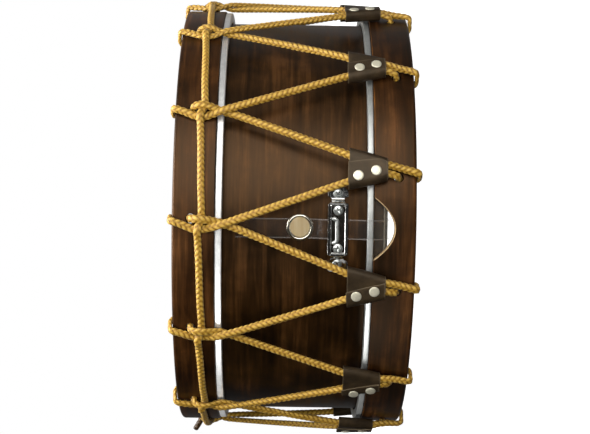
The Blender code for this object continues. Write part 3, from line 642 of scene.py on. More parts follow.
def make_wood():
    hoop = [(HOOP_RI, 0.0), (HOOP_R, 0.0), (HOOP_R, 1.0), (HOOP_RI, 1.0)]
    made = {}
    for name, z0, z1, radii in (
            ("batter_hoop", Z_EDGE_B, Z_RIM_B, (0.8, 0.8, 2.6, 5.0)),
            ("snare_hoop", Z_RIM_S, Z_EDGE_S, (5.0, 2.6, 0.8, 0.8))):
        pts = [(r, z0 + (z1 - z0) * f) for r, f in hoop]
        made[name] = ring(name, fillet(pts, radii, 5), [HOOP_WOOD, RAW])
    items = []
    for k in range(-N_EAR // 2 + 1, N_EAR // 2 + 1):
        deg = crossing_angle(k) + HOLE_A_B / MM_PER_DEG
        items.append((radial_basis(deg, Z_HOLE_B), HOLE_R, 174.0, 194.0))
    v, f = cylinder_mesh(items)
    cut(made["batter_hoop"], v, f, [HOOP_WOOD, RAW], index=0)
    items = []
    for j in range(-N_EAR // 2, N_EAR // 2):
        deg = ear_angle(j) + HOLE_A_S / MM_PER_DEG
        items.append((radial_basis(deg, Z_HOLE_S), HOLE_R, 174.0, 194.0))
    v, f = cylinder_mesh(items)
    cut(made["snare_hoop"], v, f, [HOOP_WOOD, RAW], index=0)
    # the two gates that the strips and straps pass through
    verts, faces = [], []
    for deg in (0.0, 180.0):
        b, n = len(verts), 48
        outline = [(-GATE_HALF - 0.6, Z_EDGE_S + 2.0),
                   (-GATE_HALF - 0.6, Z_EDGE_S + 0.05)]
        for i in range(1, n):
            t = -GATE_HALF + 2 * GATE_HALF * i / n
            outline.append((t, Z_EDGE_S
                            - GATE_DEPTH * (1 - (t / GATE_HALF) ** 2)))
        outline += [(GATE_HALF + 0.6, Z_EDGE_S + 0.05),
                    (GATE_HALF + 0.6, Z_EDGE_S + 2.0)]
        m = len(outline)
        verts += [local(deg, t, 165.0, z) for t, z in outline]
        verts += [local(deg, t, 200.0, z) for t, z in outline]
        faces.append([b + i for i in range(m)])
        faces.append([b + m + i for i in reversed(range(m))])
        for i in range(m):
            j = (i + 1) % m
            faces.append((b + j, b + i, b + m + i, b + m + j))
    cut(made["snare_hoop"], verts, faces, [HOOP_WOOD, RAW], index=1)
    verts, faces = [], []
    for deg in (0.0, 180.0):
        rows, n = [], 60
        for i in range(n + 1):
            t = -(GATE_HALF + 0.6) + 2 * (GATE_HALF + 0.6) * i / n
            z = Z_EDGE_S - GATE_DEPTH * (1 - (t / GATE_HALF) ** 2)
            dz = 2 * GATE_DEPTH * t / GATE_HALF ** 2
            q = math.hypot(dz, 1.0)
            row = []
            for off, rise in ((0.75, 0.25), (-0.9, -1.4), (-0.9, 1.0)):
                tt, zz = t + off * dz / q, z - off / q
                edge = math.sqrt(HOOP_R ** 2 - tt * tt)
                row.append(local(deg, tt, edge + rise, zz))
            rows.append(row)
        v, f = loft(rows)
        faces += [[len(verts) + i for i in g] for g in f]
        verts += v
    cut(made["snare_hoop"], verts, faces, [HOOP_WOOD, RAW], index=1)
    # the hoop's edge towards the shell takes a much lighter copy of the hoop
    # wood: a painted highlight along the rim
    hoop_mesh = made["snare_hoop"].data
    hoop_mesh.materials.append(RIM_HIGHLIGHT_WOOD)
    rim_highlight_index = len(hoop_mesh.materials) - 1
    for p in hoop_mesh.polygons:
        c = p.center * 1000.0
        if (c.z > Z_EDGE_S - 0.7 and math.hypot(c.x, c.y) > HOOP_R - 1.4
                and p.material_index == 0):
            p.material_index = rim_highlight_index
    z0, z1 = Z_SHELL
    prof = fillet([(SHELL_R, z0), (SHELL_R, z1), (SHELL_R - 2.4, z1),
                   (SHELL_RI, z1 - 3.4), (SHELL_RI, z0 + 3.4),
                   (SHELL_R - 2.4, z0)], (1.6, 1.6, 0.6, 1.5, 1.5, 0.6), 4)
    shell = ring("wood_shell", prof, [WOOD, INNER])
    paint_inside(shell, 1, SHELL_RI + 1.2)
    items = [(radial_basis(0.0, VENT_Z), 9.0, 160.0, 190.0)]
    for s in (-1, 1):
        items.append((radial_basis(BUTT_DEG + s * BUTT_MOUNT_DEG, BUTT_Z),
                      2.0, 160.0, 190.0))
    v, f = cylinder_mesh(items, 40)
    cut(shell, v, f, [WOOD, INNER], index=1)
    for ob, node in ((made["batter_hoop"], "batter_counterhoop"),
                     (made["snare_hoop"], "snare_counterhoop"),
                     (shell, "shell")):
        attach(ob, "drum")
        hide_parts(node)
    HOOPS.append(made["snare_hoop"])


make_wood()


RINGS = []


def make_heads():
    for name, node, (z0, z1), mat in (
            ("batter_flesh_ring", "batter_flesh_hoop", Z_FLESH_B, ALU),
            ("snare_flesh_ring", "snare_flesh_hoop", Z_FLESH_S, SHADED_RING_ALU)):
        ob = ring(name, fillet([(FLESH_RI, z0), (FLESH_R, z0), (FLESH_R, z1),
                                (FLESH_RI, z1)], (0.5, 0.9, 0.9, 0.5), 4),
                  mat)
        RINGS.append(ob)
        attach(ob, "drum")
        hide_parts(node)
    for name, node, zo, up, foot, mat in (
            ("batter_skin", "batter_head", 176.5, 1, Z_FLESH_B[0] + 1.2,
             BATTER_FILM),
            ("snare_skin", "snare_head", 26.9, -1, Z_FLESH_S[1] - 1.2,
             SNARE_FILM)):
        r, t = FILM_R, FILM_T
        outer = fillet([(0.0, zo), (60.0, zo), (120.0, zo), (r - 1.8, zo),
                        (r + t, zo - up * 1.9), (r + t, foot), (r, foot),
                        (r, zo - up * 2.0), (r - 2.0, zo - up * t),
                        (0.0, zo - up * t)],
                       (0, 0, 0, 2.6, 2.2, 0.15, 0.15, 1.8, 2.2, 0), 5)
        ob = turned(name, (np.zeros(3), np.array((1.0, 0, 0)),
                           np.array((0, 1.0, 0)), np.array((0, 0, 1.0))),
                    outer, mat, segs=256)
        co = np.zeros(len(ob.data.vertices) * 3, np.float32)
        ob.data.vertices.foreach_get("co", co)
        co = co.reshape(-1, 3) * 1000.0
        # mask of the film's shoulder: on the snare head it carries a painted
        # highlight
        far = np.hypot(co[:, 0], co[:, 1]) > r - 1.0
        float_attribute(ob, "edge", (far & (abs(co[:, 2] - zo) < 2.6))
                        .astype(float))
        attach(ob, "drum")
        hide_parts(node)


make_heads()

# ---------------------------------------------------------------------- ropes
# Each row: arc offset from the crossing or ear, radius, height, rope radius.
BATTER_IN = [
    (0.9, HOOP_R + 6.2, 157.6, 2.3), (-0.2, HOOP_R + 6.1, 161.0, 2.3),
    (-1.4, HOOP_R + 5.4, 164.6, 2.3), (-3.7, HOOP_R + 2.4, 173.8, 2.25),
    (-4.2, HOOP_R + 2.4, 180.4, 2.3), (0.4, HOOP_R + 3.2, 193.4, 2.9),
    (2.6, HOOP_R + 2.7, 200.4, 2.3),
    (3.6, HOOP_R - 2.4, Z_RIM_B + 1.95, 1.75),
    (4.0, HOOP_RI + 2.2, Z_RIM_B + 1.95, 1.75),
    (4.2, HOOP_RI - 1.8, Z_RIM_B - 1.9, 1.85),
    (4.3, HOOP_RI - 2.4, 193.2, 2.1), (4.4, HOOP_RI - 2.6, 187.0, 2.2),
    (4.4, HOOP_RI + 1.0, 184.9, 2.4), (4.4, HOOP_R + 2.9, 184.7, 2.6),
    (4.3, HOOP_R + 6.5, 180.6, 2.4), (4.2, HOOP_R + 7.0, 175.6, 2.3),
    (2.5, HOOP_R + 3.2, 165.2, 2.3), (1.6, HOOP_R + 1.9, 161.2, 2.3),
    (0.4, HOOP_R + 1.7, 157.8, 2.3), (-2.2, HOOP_R + 2.1, 150.0, 2.7)]
FIRST_INSIDE = 11
LOOSE_END = BATTER_IN[:5] + [
    (-4.2, HOOP_R + 4.6, 185.2, 2.6), (-4.4, HOOP_R + 9.4, 187.0, 2.8),
    (-4.6, HOOP_R + 13.4, 189.2, 2.8), (-4.8, HOOP_R + 17.0, 191.4, 2.7)]
SNARE_TURN = [
    (12.6, EAR_ROPE_R + 0.2, 61.5, 3.1), (9.4, EAR_ROPE_R, 54.0, 3.1),
    (5.5, EAR_ROPE_R, 45.0, 3.1), (4.4, EAR_ROPE_R, 36.0, 3.1),
    (4.3, EAR_ROPE_R, 28.0, 3.1),
    (1.7, HOOP_R + 4.2, 16.2, 3.1), (-2.0, HOOP_R + 2.9, 2.7, 2.3),
    (-2.8, HOOP_R - 2.4, 1.81, 1.8), (-3.3, HOOP_RI + 2.2, 2.0, 1.75),
    (-3.8, HOOP_RI - 2.0, 6.1, 1.85), (-4.3, HOOP_RI - 2.5, 10.6, 2.1),
    (-4.8, HOOP_RI - 2.6, 16.6, 2.2), (-4.8, HOOP_RI + 1.0, 18.7, 2.4),
    (-4.6, HOOP_R + 2.7, 19.6, 2.5), (-2.9, EAR_ROPE_R - 0.1, 27.2, 3.0),
    (-2.9, EAR_ROPE_R, 36.0, 3.1), (-4.0, EAR_ROPE_R, 45.0, 3.1),
    (-7.6, EAR_ROPE_R, 54.0, 3.1), (-10.4, EAR_ROPE_R + 0.2, 61.5, 3.1)]
WOVEN_CROSS = [
    (11.0, HOOP_R + 3.5, 175.6, 3.0), (5.4, HOOP_R + 2.5, 175.8, 2.3),
    (-4.7, HOOP_R + 7.1, 178.6, 2.3), (-12.5, HOOP_R + 4.2, 178.3, 3.0)]


def tension_route():
    """Points, radii and the ear each stretch belongs to (-99 for none)."""
    pts, ears = [], []

    def add(p, r, e):
        pts.append((p, r))
        ears.append(e)

    k = LOOSE_K
    start = crossing_angle(k)
    add(at(start, 15.0, HOOP_RI - 3.6, 189.6), 2.4, -99)
    add(at(start, 9.6, HOOP_RI - 3.4, 188.4), 2.4, -99)
    for row in BATTER_IN[FIRST_INSIDE:]:
        add(at(start, *row[:3]), row[3], -99)
    order = []
    for step in range(N_EAR):
        order.append(k - 1)
        for row in SNARE_TURN:
            add(at(ear_angle(k - 1), *row[:3]), row[3], k - 1)
        k = k - 1 if k > 1 - N_EAR // 2 else N_EAR // 2
        for row in BATTER_IN if step < N_EAR - 1 else LOOSE_END:
            add(at(crossing_angle(k), *row[:3]), row[3], -99)
    return pts, ears, order


def woven_route():
    pts = []
    k_list = list(range(LOOSE_K - 1, LOOSE_K - 1 - N_EAR, -1))
    lead = woven_angle(k_list[0])
    pts.append((at(lead, 20.0, HOOP_R + 3.6, 176.6), 3.1))
    for n, k in enumerate(k_list):
        here = woven_angle(k)
        for row in WOVEN_CROSS:
            pts.append((at(here, *row[:3]), row[3]))
        if n < len(k_list) - 1:
            nxt = woven_angle(k_list[n + 1])
            a0 = here - 12.5 / MM_PER_DEG
            a1 = nxt + 11.0 / MM_PER_DEG
            for f in (0.25, 0.5, 0.75):
                z = 177.9 + (175.9 - 177.9) * f
                pts.append((polar(HOOP_R + 3.9, a0 + (a1 - a0) * f, z), 3.1))
    end = woven_angle(k_list[-1])
    pts.append((at(end, -19.0, HOOP_R + 4.2, 178.0), 3.1))
    pts.append((at(end, -27.0, HOOP_R + 4.0, 177.0), 3.1))
    return pts


def smooth_path(pts, step):
    """Even points on a centripetal Catmull-Rom curve, the radius there and
    the place in the list of control points."""
    p = np.array([q for q, _ in pts])
    r = np.array([q for _, q in pts])
    p = np.vstack([2 * p[0] - p[1], p, 2 * p[-1] - p[-2]])
    out, par = [], []
    for i in range(1, len(p) - 2):
        a, b, c, d = p[i - 1], p[i], p[i + 1], p[i + 2]
        t0 = 0.0
        t1 = t0 + math.sqrt(np.linalg.norm(b - a))
        t2 = t1 + math.sqrt(np.linalg.norm(c - b))
        t3 = t2 + math.sqrt(np.linalg.norm(d - c))
        n = max(4, int(np.linalg.norm(c - b) / 0.35))
        t = np.linspace(t1, t2, n, endpoint=False)[:, None]
        a1 = (t1 - t) / (t1 - t0) * a + (t - t0) / (t1 - t0) * b
        a2 = (t2 - t) / (t2 - t1) * b + (t - t1) / (t2 - t1) * c
        a3 = (t3 - t) / (t3 - t2) * c + (t - t2) / (t3 - t2) * d
        b1 = (t2 - t) / (t2 - t0) * a1 + (t - t0) / (t2 - t0) * a2
        b2 = (t3 - t) / (t3 - t1) * a2 + (t - t1) / (t3 - t1) * a3
        out.append((t2 - t) / (t2 - t1) * b1 + (t - t1) / (t2 - t1) * b2)
        par.append(i - 1 + np.linspace(0, 1, n, endpoint=False))
    out.append(p[-2][None, :])
    par.append(np.array([len(r) - 1.0]))
    out, par = np.vstack(out), np.concatenate(par)
    s = np.concatenate([[0], np.cumsum(np.linalg.norm(np.diff(out, axis=0),
                                                      axis=1))])
    n = int(round(s[-1] / step))
    q = np.linspace(0, s[-1], n + 1)
    path = np.stack([np.interp(q, s, out[:, i]) for i in range(3)], 1)
    par = np.interp(q, s, par)
    return path, np.interp(par, np.arange(len(r)), r), par, q


LAY, STRANDS = 18.0, 4


def braid(path, radii, s, round_, flat_dir, seed=0.0):
    """Rings of a braided rope, the relief (0 crease, 1 top) and the fibre
    coordinates at each vertex."""
    n = len(path)
    tan = np.gradient(path, axis=0)
    tan /= np.linalg.norm(tan, axis=1)[:, None]
    nor = np.zeros_like(path)
    v = np.cross(tan[0], (0.3, 0.2, 0.9))
    for i in range(n):
        v = v - (v @ tan[i]) * tan[i]
        v = v / np.linalg.norm(v)
        nor[i] = v
    bi = np.cross(tan, nor)
    th = np.arange(round_) * 2 * math.pi / round_
    ss, tt = s[:, None], th[None, :]
    wob = 0.10 * np.sin(ss * 0.071 + seed) + 0.07 * np.sin(ss * 0.193 + 2.0)
    a = STRANDS * ((tt + wob) / (2 * math.pi) - ss / LAY)
    b = STRANDS * ((tt + wob) / (2 * math.pi) + ss / LAY)
    i_, j_ = np.round(a), np.round(b)

    def bulge(d):
        return np.sqrt(np.clip(1 - 3.5 * d * d, 0.02, 1))

    # each strand runs over two others and under two
    over = 0.46
    h1 = bulge(a - i_) + over * np.cos(math.pi * (b + i_ - 0.5) / 2)
    h2 = bulge(b - j_) - over * np.cos(math.pi * (a + j_ - 0.5) / 2)
    first = h1 >= h2
    h = np.where(first, h1, h2)
    rel = np.clip((h - 0.35) / (1.42 - 0.35), 0, 1)
    rr = 2.22 + 0.95 * rel
    off = (rr[..., None] * (np.cos(th)[None, :, None] * nor[:, None, :]
                            + np.sin(th)[None, :, None] * bi[:, None, :]))
    flat = np.clip(radii / ROPE_R, 0.55, 1.0)
    wide = 1.0 + 0.35 * (1.0 - flat)
    hdir = flat_dir(path, tan)
    wdir = np.cross(tan, hdir)
    ch = np.einsum("nkc,nc->nk", off, hdir)
    cw = np.einsum("nkc,nc->nk", off, wdir)
    off = (off + (ch * (flat - 1)[:, None])[..., None] * hdir[:, None, :]
           + (cw * (wide - 1)[:, None])[..., None] * wdir[:, None, :])
    verts = path[:, None, :] + off
    al = np.where(first, 2 * math.pi * a / STRANDS, 2 * math.pi * b / STRANDS)
    fib = np.stack([9.0 * np.cos(al), 9.0 * np.sin(al),
                    np.broadcast_to(ss * 0.55, al.shape)
                    + np.where(first, 0.0, 40.0)], -1)
    return verts, rel, fib


def outward(path):
    r = np.stack([path[:, 0], path[:, 1], np.zeros(len(path))], 1)
    return r / np.linalg.norm(r, axis=1)[:, None]


def unit(v):
    return v / np.maximum(np.linalg.norm(v, axis=1), 1e-9)[:, None]


def flat_across(path, tan):
    """Pressed against the hoop: square to the run and to the round."""
    er = outward(path)
    et = np.stack([-er[:, 1], er[:, 0], np.zeros(len(path))], 1)
    return unit(np.cross(tan, et))


def flat_radial(path, tan):
    er = outward(path)
    return unit(er - np.einsum("nc,nc->n", er, tan)[:, None] * tan)


def rope_piece(name, data, spans, mat, ends=()):
    """A mesh from one or more runs of rings; ends are rounded off."""
    verts, rel, fib = data
    k = verts.shape[1]
    vs, rs, fs, faces = [], [], [], []
    base = 0
    for i0, i1 in spans:
        v = verts[i0:i1 + 1]
        m = len(v)
        vs.append(v.reshape(-1, 3))
        rs.append(rel[i0:i1 + 1].ravel())
        fs.append(fib[i0:i1 + 1].reshape(-1, 3))
        idx = base + np.arange(m * k).reshape(m, k)
        nx = np.roll(idx, -1, axis=1)
        faces.append(np.stack([idx[:-1], idx[1:], nx[1:], nx[:-1]],
                              -1).reshape(-1, 4))
        base += m * k
    quads = np.vstack(faces)
    extra_v, extra_f, extra_r = [], [], []
    for i, sign in ends:
        c = verts[i].mean(axis=0)
        nb = verts[i + sign].mean(axis=0)
        out = (c - nb) / np.linalg.norm(c - nb)
        ring_ids = None
        for (i0, i1), off in zip(spans, np.cumsum(
                [0] + [(b - a + 1) * k for a, b in spans])[:-1]):
            if i in (i0, i1):
                ring_ids = off + (i - i0) * k + np.arange(k)
        prev = ring_ids
        for f, h in ((0.93, 0.5), (0.76, 1.0), (0.45, 1.4)):
            rows = c + (verts[i] - c) * f + out * h
            ids = base + len(extra_v) + np.arange(k)
            extra_v += list(rows)
            for q in range(k):
                w = (q + 1) % k
                extra_f.append((prev[q], prev[w], ids[w], ids[q]))
            prev = ids
        tip = base + len(extra_v)
        extra_v.append(c + out * 1.5)
        extra_r += [float(rel[i].mean())] * (3 * k + 1)
        for q in range(k):
            extra_f.append((prev[q], prev[(q + 1) % k], tip, tip))
    allv = np.vstack(vs + ([np.array(extra_v)] if extra_v else []))
    me = bpy.data.meshes.new(name)
    nq = [f for f in extra_f if len(set(f)) == 4]
    nt = [f[:3] for f in extra_f if len(set(f)) == 3]
    loops = np.concatenate([quads.ravel(), np.array(nq, int).ravel(),
                            np.array(nt, int).ravel()]).astype(np.int32)
    nf4, nf3 = len(quads) + len(nq), len(nt)
    starts = np.concatenate([np.arange(nf4) * 4,
                             nf4 * 4 + np.arange(nf3) * 3]).astype(np.int32)
    me.vertices.add(len(allv))
    me.vertices.foreach_set("co", (allv / 1000.0).astype(np.float32).ravel())
    me.loops.add(len(loops))
    me.loops.foreach_set("vertex_index", loops)
    me.polygons.add(nf4 + nf3)
    me.polygons.foreach_set("loop_start", starts)
    me.materials.append(mat)
    me.polygons.foreach_set("use_smooth", [True] * (nf4 + nf3))
    me.update(calc_edges=True)
    me.validate()
    ob = bpy.data.objects.new(name, me)
    bpy.context.scene.collection.objects.link(ob)
    ne = len(extra_v)
    float_attribute(ob, "relief", np.concatenate(rs + [np.array(extra_r)]))
    vector_attribute(ob, "fibre", np.vstack(fs + [np.zeros((ne, 3))])
                     if ne else np.vstack(fs))
    return ob


STEP, AROUND = ((0.55, 28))


def make_ropes():
    pts, ears, order = tension_route()
    path, rad, par, s = smooth_path(pts, STEP)
    data = braid(path, rad, s, AROUND, flat_across)
    # painted shadow on the loose end, which hangs in the drum's shade: its last
    # 16 mm are darkened
    k = np.clip((s[-1] - s) / 16.0, 0.0, 1.0)[:, None] ** 2
    data = (data[0], data[1] * k - 0.4 * (1.0 - k), data[2])
    print("tension rope", round(s[-1]), "mm,", len(path), "rings")
    ears = np.array(ears)
    lo, hi = np.floor(par).astype(int), np.ceil(par).astype(int)
    # a ring belongs to an ear between the crossings on either side of it
    ear_of = np.full(len(path), -99)
    for e in range(-N_EAR // 2, N_EAR // 2):
        rows = np.nonzero(ears == e)[0]
        ear_of[(par > rows[0] - 1) & (par < rows[-1] + 1)] = e
    seam = 54.0
    top, last = [], 0
    for e in order:
        own = np.nonzero(ear_of == e)[0]
        a, d = own[0], own[-1]
        low = own[path[own, 2] < seam]
        b, c = low[0], low[-1]
        n = e + N_EAR // 2 + 1
        legs = rope_piece("rope_legs_%02d" % n, data, [(a, b), (c, d)], ROPE)
        turn = rope_piece("rope_turn_%02d" % n, data, [(b, c)], ROPE)
        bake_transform(legs)
        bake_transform(turn)
        top.append((last, a))
        last = d
    top.append((last, len(path) - 1))
    ob = rope_piece("rope_batter_side", data, top, ROPE,
                    ends=((0, 1), (len(path) - 1, -1)))
    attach(ob, "drum")
    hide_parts("tension_rope")
    path, rad, par, s = smooth_path(woven_route(), STEP)
    print("woven rope", round(s[-1]), "mm,", len(path), "rings")
    data = braid(path, rad, s, AROUND, flat_radial, 1.3)
    ob = rope_piece("rope_woven", data, [(0, len(path) - 1)], ROPE,
                    ends=((0, 1), (len(path) - 1, -1)))
    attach(ob, "drum")
    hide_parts("woven_rope")


make_ropes()


# ----------------------------------------------------------------------- ears
EAR_IN, EAR_T = 3.3, 1.3          # half the room inside, leather thickness


def ear_span(z):
    """Middle and inner half width of an ear at height z."""
    f = (z - EAR_Z[0]) / (EAR_Z[1] - EAR_Z[0])
    bow = 0.55 * math.sin(math.pi * min(1.0, max(0.0, f)))
    return 0.7 + 0.35 * f, 7.5 + 7.9 * f + bow


def ear_sag(a, z, c, w):
    f = (z - EAR_Z[0]) / (EAR_Z[1] - EAR_Z[0])
    return 1.1 * f * math.exp(-((a - c) / (0.42 * w)) ** 2)


def flap_edge(z, spec):
    f = (z - EAR_Z[0]) / (EAR_Z[1] - EAR_Z[0])
    return spec[0] + (spec[1] - spec[0]) * f + 0.5 * math.sin(3.1 * f)


def make_ears():
    mid = EAR_IN + EAR_T / 2
    lap = EAR_T + 0.10
    for j in range(-N_EAR // 2, N_EAR // 2):
        n = j + N_EAR // 2 + 1
        deg = ear_angle(j)
        g = rand(100 + n)
        # flap edge at the narrow and at the wide end, rivets on the flap
        if j == 0:
            spec, riv = (8.0, 5.2), ((-5.6, 51.6), (-1.5, 37.6))
        elif j == -1:
            spec, riv = (5.6, -2.7), ((-5.2, 51.6), (-1.1, 37.4))
        elif j == -2:
            spec, riv = (2.8, -6.0), ((-9.3, 49.6), (-4.6, 35.6))
        elif j == 1:
            spec, riv = (6.4, 1.0), ((-4.6, 49.8), (-0.9, 36.0))
        elif j == 2:
            spec, riv = (4.2, -3.0), ((-8.6, 51.4), (-4.6, 37.5))
        else:
            d = g.uniform(-1.2, 1.2)
            spec = (6.4 + d * 0.6, 0.6 + d * 1.6)
            riv = ((-5.4 + d * 0.8, 51.4 + g.uniform(-0.7, 0.7)),
                   (-1.3 + d * 0.6, 37.5 + g.uniform(-0.7, 0.7)))
        rows = 22
        rings, edges = [], []
        wav = [g.uniform(0, 6.28) for _ in range(4)]
        for i in range(rows + 1):
            f = i / rows
            z = EAR_Z[0] + (EAR_Z[1] - EAR_Z[0]) * f
            c, w = ear_span(z)
            half = w + EAR_T / 2
            line = []
            a_end = flap_edge(z, spec)
            a_start = max(a_end - 11.0, c - half + mid + 0.6)
            right = c + half - mid
            left = c - half + mid
            a_end = min(a_end, right + 1.0)
            for q in range(8):
                line.append((a_start + (right - a_start) * q / 8, mid))
            for q in range(9):
                t = math.radians(90 - 180 * q / 8)
                line.append((right + mid * math.cos(t), mid * math.sin(t)))
            for q in range(1, 10):
                line.append((right + (left - right) * q / 10, -mid))
            for q in range(10):
                t = math.radians(270 - 180 * q / 9)
                rad = mid + lap * q / 9
                line.append((left + rad * math.cos(t), rad * math.sin(t)))
            for q in range(1, 11):
                line.append((left + (a_end - left) * q / 10, mid + lap))
            line = np.array(line)
            for q in range(len(line)):
                s = ear_sag(line[q, 0], z, c, w)
                if line[q, 1] > mid * 0.9:
                    line[q, 1] -= s
                elif line[q, 1] < -mid * 0.9:
                    line[q, 1] += s
            tg = np.gradient(line, axis=0)
            tg /= np.linalg.norm(tg, axis=1)[:, None]
            nr = np.stack([-tg[:, 1], tg[:, 0]], 1)
            u = np.linspace(0, 1, len(line))
            thick = EAR_T / 2 * np.ones(len(line))
            thick[0] *= 0.55
            thick[-1] *= 0.62
            outer = line + nr * thick[:, None]
            inner = line - nr * thick[:, None]
            loop = np.vstack([outer, inner[::-1]])
            uu = np.concatenate([u, u[::-1]])
            # the ends of the strap are not cut dead straight, and the flap
            # stops a little short of the layer below it
            flap = 1 / (1 + np.exp(-(uu - 0.78) * 60))
            end_lo, end_hi = (1 - f) ** 6, f ** 6
            dz = end_lo * (0.75 * flap + 0.15 * np.sin(9 * uu + wav[0])) \
                + end_hi * (-0.25 + 0.9 * (flap - 0.5)
                            + 0.3 * np.sin(7 * uu + wav[1]))
            ring_ = []
            for (a, h), z_ in zip(loop, z + dz):
                ring_.append(at(deg, a, EAR_ROPE_R + h, z_))
            rings.append(ring_)
            e = np.zeros(len(loop))
            e[0] = e[-1] = e[len(line) - 1] = e[len(line)] = 1.0
            if i in (0, rows):
                e[:] = 1.0
            edges += list(e)
        m = len(rings[0])
        verts, faces = loft(rings, close_ends=False)
        half_m = m // 2
        for b in (0, rows * m):
            for q in range(half_m - 1):
                quad = (b + q, b + q + 1, b + m - 2 - q, b + m - 1 - q)
                faces.append(quad if b else tuple(reversed(quad)))
        ear = new_object("leather_ear_%02d" % n, verts, faces, LEATHER,
                         recalc=True, sharp=50.0)
        float_attribute(ear, "edge", edges)
        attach(ear, "ear_slide_%02d" % n)
        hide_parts("ear_%02d" % n)
        for side, (t, z) in zip("ab", riv):
            c, w = ear_span(z)
            top = mid + lap + EAR_T / 2 - ear_sag(t, z, c, w)
            base = radial_basis(deg + t / MM_PER_DEG, z)
            h0 = EAR_ROPE_R + top - 0.15
            prof = [(0.0, h0 - 0.6), (1.4, h0 - 0.6), (3.9, h0 - 0.05),
                    (4.1, h0 + 0.12), (4.15, h0 + 0.36), (4.0, h0 + 0.62),
                    (3.6, h0 + 0.78), (2.9, h0 + 0.88), (1.6, h0 + 0.97),
                    (0.0, h0 + 1.0)]
            cap = turned("rivet_cap_%02d%s" % (n, side), base, prof, RIVET,
                         segs=40, sharp=60.0)
            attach(cap, "ear_slide_%02d" % n)
            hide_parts("rivet_%02d%s" % (n, side))


make_ears()


# ------------------------------------------------------------------- hardware
def rounded(ht, hz, r, steps=6):
    """Outline of a rounded rectangle in (t, z)."""
    return fillet([(-ht, -hz), (ht, -hz), (ht, hz), (-ht, hz)],
                  (r, r, r, r), steps)


def plate(name, deg, zc, levels, mat, tc=0.0, sharp=40.0):
    """Nested rounded rectangles (half t, half z, corner, height)."""
    rings = [[local(deg, tc + t, n, zc + z) for t, z in rounded(ht, hz, r)]
             for ht, hz, r, n in levels]
    v, f = loft(rings)
    return new_object(name, v, f, mat, recalc=True, sharp=sharp)


def cross_screw(name, base, seat, r, h, mat, turn=0.3, depth=1.3, arm=0.42):
    """A pan head with a cross recess."""
    o, e1, e2, e3 = base
    rings_, segs = 26, 72
    rr = np.linspace(0, 1, rings_) ** 0.9
    verts = [o + e3 * (seat + h - depth)]
    for f in rr[1:]:
        dome = h * (1 - 0.55 * f ** 2) if f < 0.9 else h * (
            1 - 0.55 * f ** 2) * math.sqrt(max(0.0, 1 - ((f - 0.9) / 0.1)
                                               ** 2 * 0.96))
        for i in range(segs):
            a = 2 * math.pi * i / segs
            x, y = r * f * math.cos(a + turn), r * f * math.sin(a + turn)
            inside = 0.0
            for p, q in ((x, y), (y, x)):
                d = max(abs(p) - r * 0.60, abs(q) - arm)
                inside = max(inside, min(1.0, max(0.0, -d / 0.16)))
            hole = depth * inside * (1 - 0.75 * (f / 0.62) ** 2
                                     if f < 0.62 else 0.25)
            verts.append(o + e3 * (seat + dome - hole) + r * f
                         * (math.cos(a) * e1 + math.sin(a) * e2))
    faces = []
    for i in range(segs):
        faces.append((0, 1 + i, 1 + (i + 1) % segs))
    for k in range(rings_ - 2):
        b = 1 + k * segs
        for i in range(segs):
            j = (i + 1) % segs
            faces.append((b + i, b + segs + i, b + segs + j, b + j))
    b = 1 + (rings_ - 2) * segs
    low = len(verts)
    for i in range(segs):
        a = 2 * math.pi * i / segs
        verts.append(o + e3 * (seat - 0.1) + r * 0.99
                     * (math.cos(a) * e1 + math.sin(a) * e2))
    for i in range(segs):
        j = (i + 1) % segs
        faces.append((b + i, low + i, low + j, b + j))
    faces.append(tuple(low + i for i in reversed(range(segs))))
    return new_object(name, verts, faces, mat, recalc=True, sharp=40.0)


def ride_as(ob, body, slot, *nodes):
    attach(ob, body)
    if nodes:
        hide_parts(*nodes)
    return ob


def ribbon(name, deg, stations, thick, mat, zc=0.0, bevel=0.25, edge=False):
    """A strip: stations are (t or z run position given as a point, ...).

    Each station is (point along the strip, half width); the strip lies
    along t and n, its width along z."""
    pts = np.array([s[0] for s in stations], float)
    tan = np.gradient(pts, axis=0)
    tan /= np.linalg.norm(tan, axis=1)[:, None]
    nor = np.stack([-tan[:, 1], tan[:, 0]], 1)
    rings = []
    for p, n, (_, hw) in zip(pts, nor, stations):
        h, b = thick / 2, min(bevel, thick * 0.4)
        row = []
        for z, k in ((-hw, -h + b), (-hw + b, -h), (hw - b, -h),
                     (hw, -h + b), (hw, h - b), (hw - b, h), (-hw + b, h),
                     (-hw, h - b)):
            q = p + n * k
            row.append(local(deg, q[0], q[1], zc + z))
        rings.append(row)
    v, f = loft(rings)
    return new_object(name, v, f, mat, recalc=True, sharp=40.0)


def resample(points, step, round_r=0.0):
    """Even points along an open line whose inner corners are rounded."""
    p = [np.array(q, float) for q in points]
    line = [p[0]]
    for i in range(1, len(p) - 1):
        a, b = p[i - 1] - p[i], p[i + 1] - p[i]
        la, lb = np.linalg.norm(a), np.linalg.norm(b)
        d = min(round_r, 0.45 * la, 0.45 * lb)
        s, e = p[i] + a / la * d, p[i] + b / lb * d
        for k in range(7):
            f = k / 6
            line.append((1 - f) ** 2 * s + 2 * f * (1 - f) * p[i] + f * f * e)
    line.append(p[-1])
    line = np.array(line)
    s = np.concatenate([[0], np.cumsum(np.linalg.norm(np.diff(line, axis=0),
                                                      axis=1))])
    q = np.linspace(0, s[-1], max(2, int(s[-1] / step)) + 1)
    return np.stack([np.interp(q, s, line[:, i])
                     for i in range(line.shape[1])], 1)


STRIPS = []


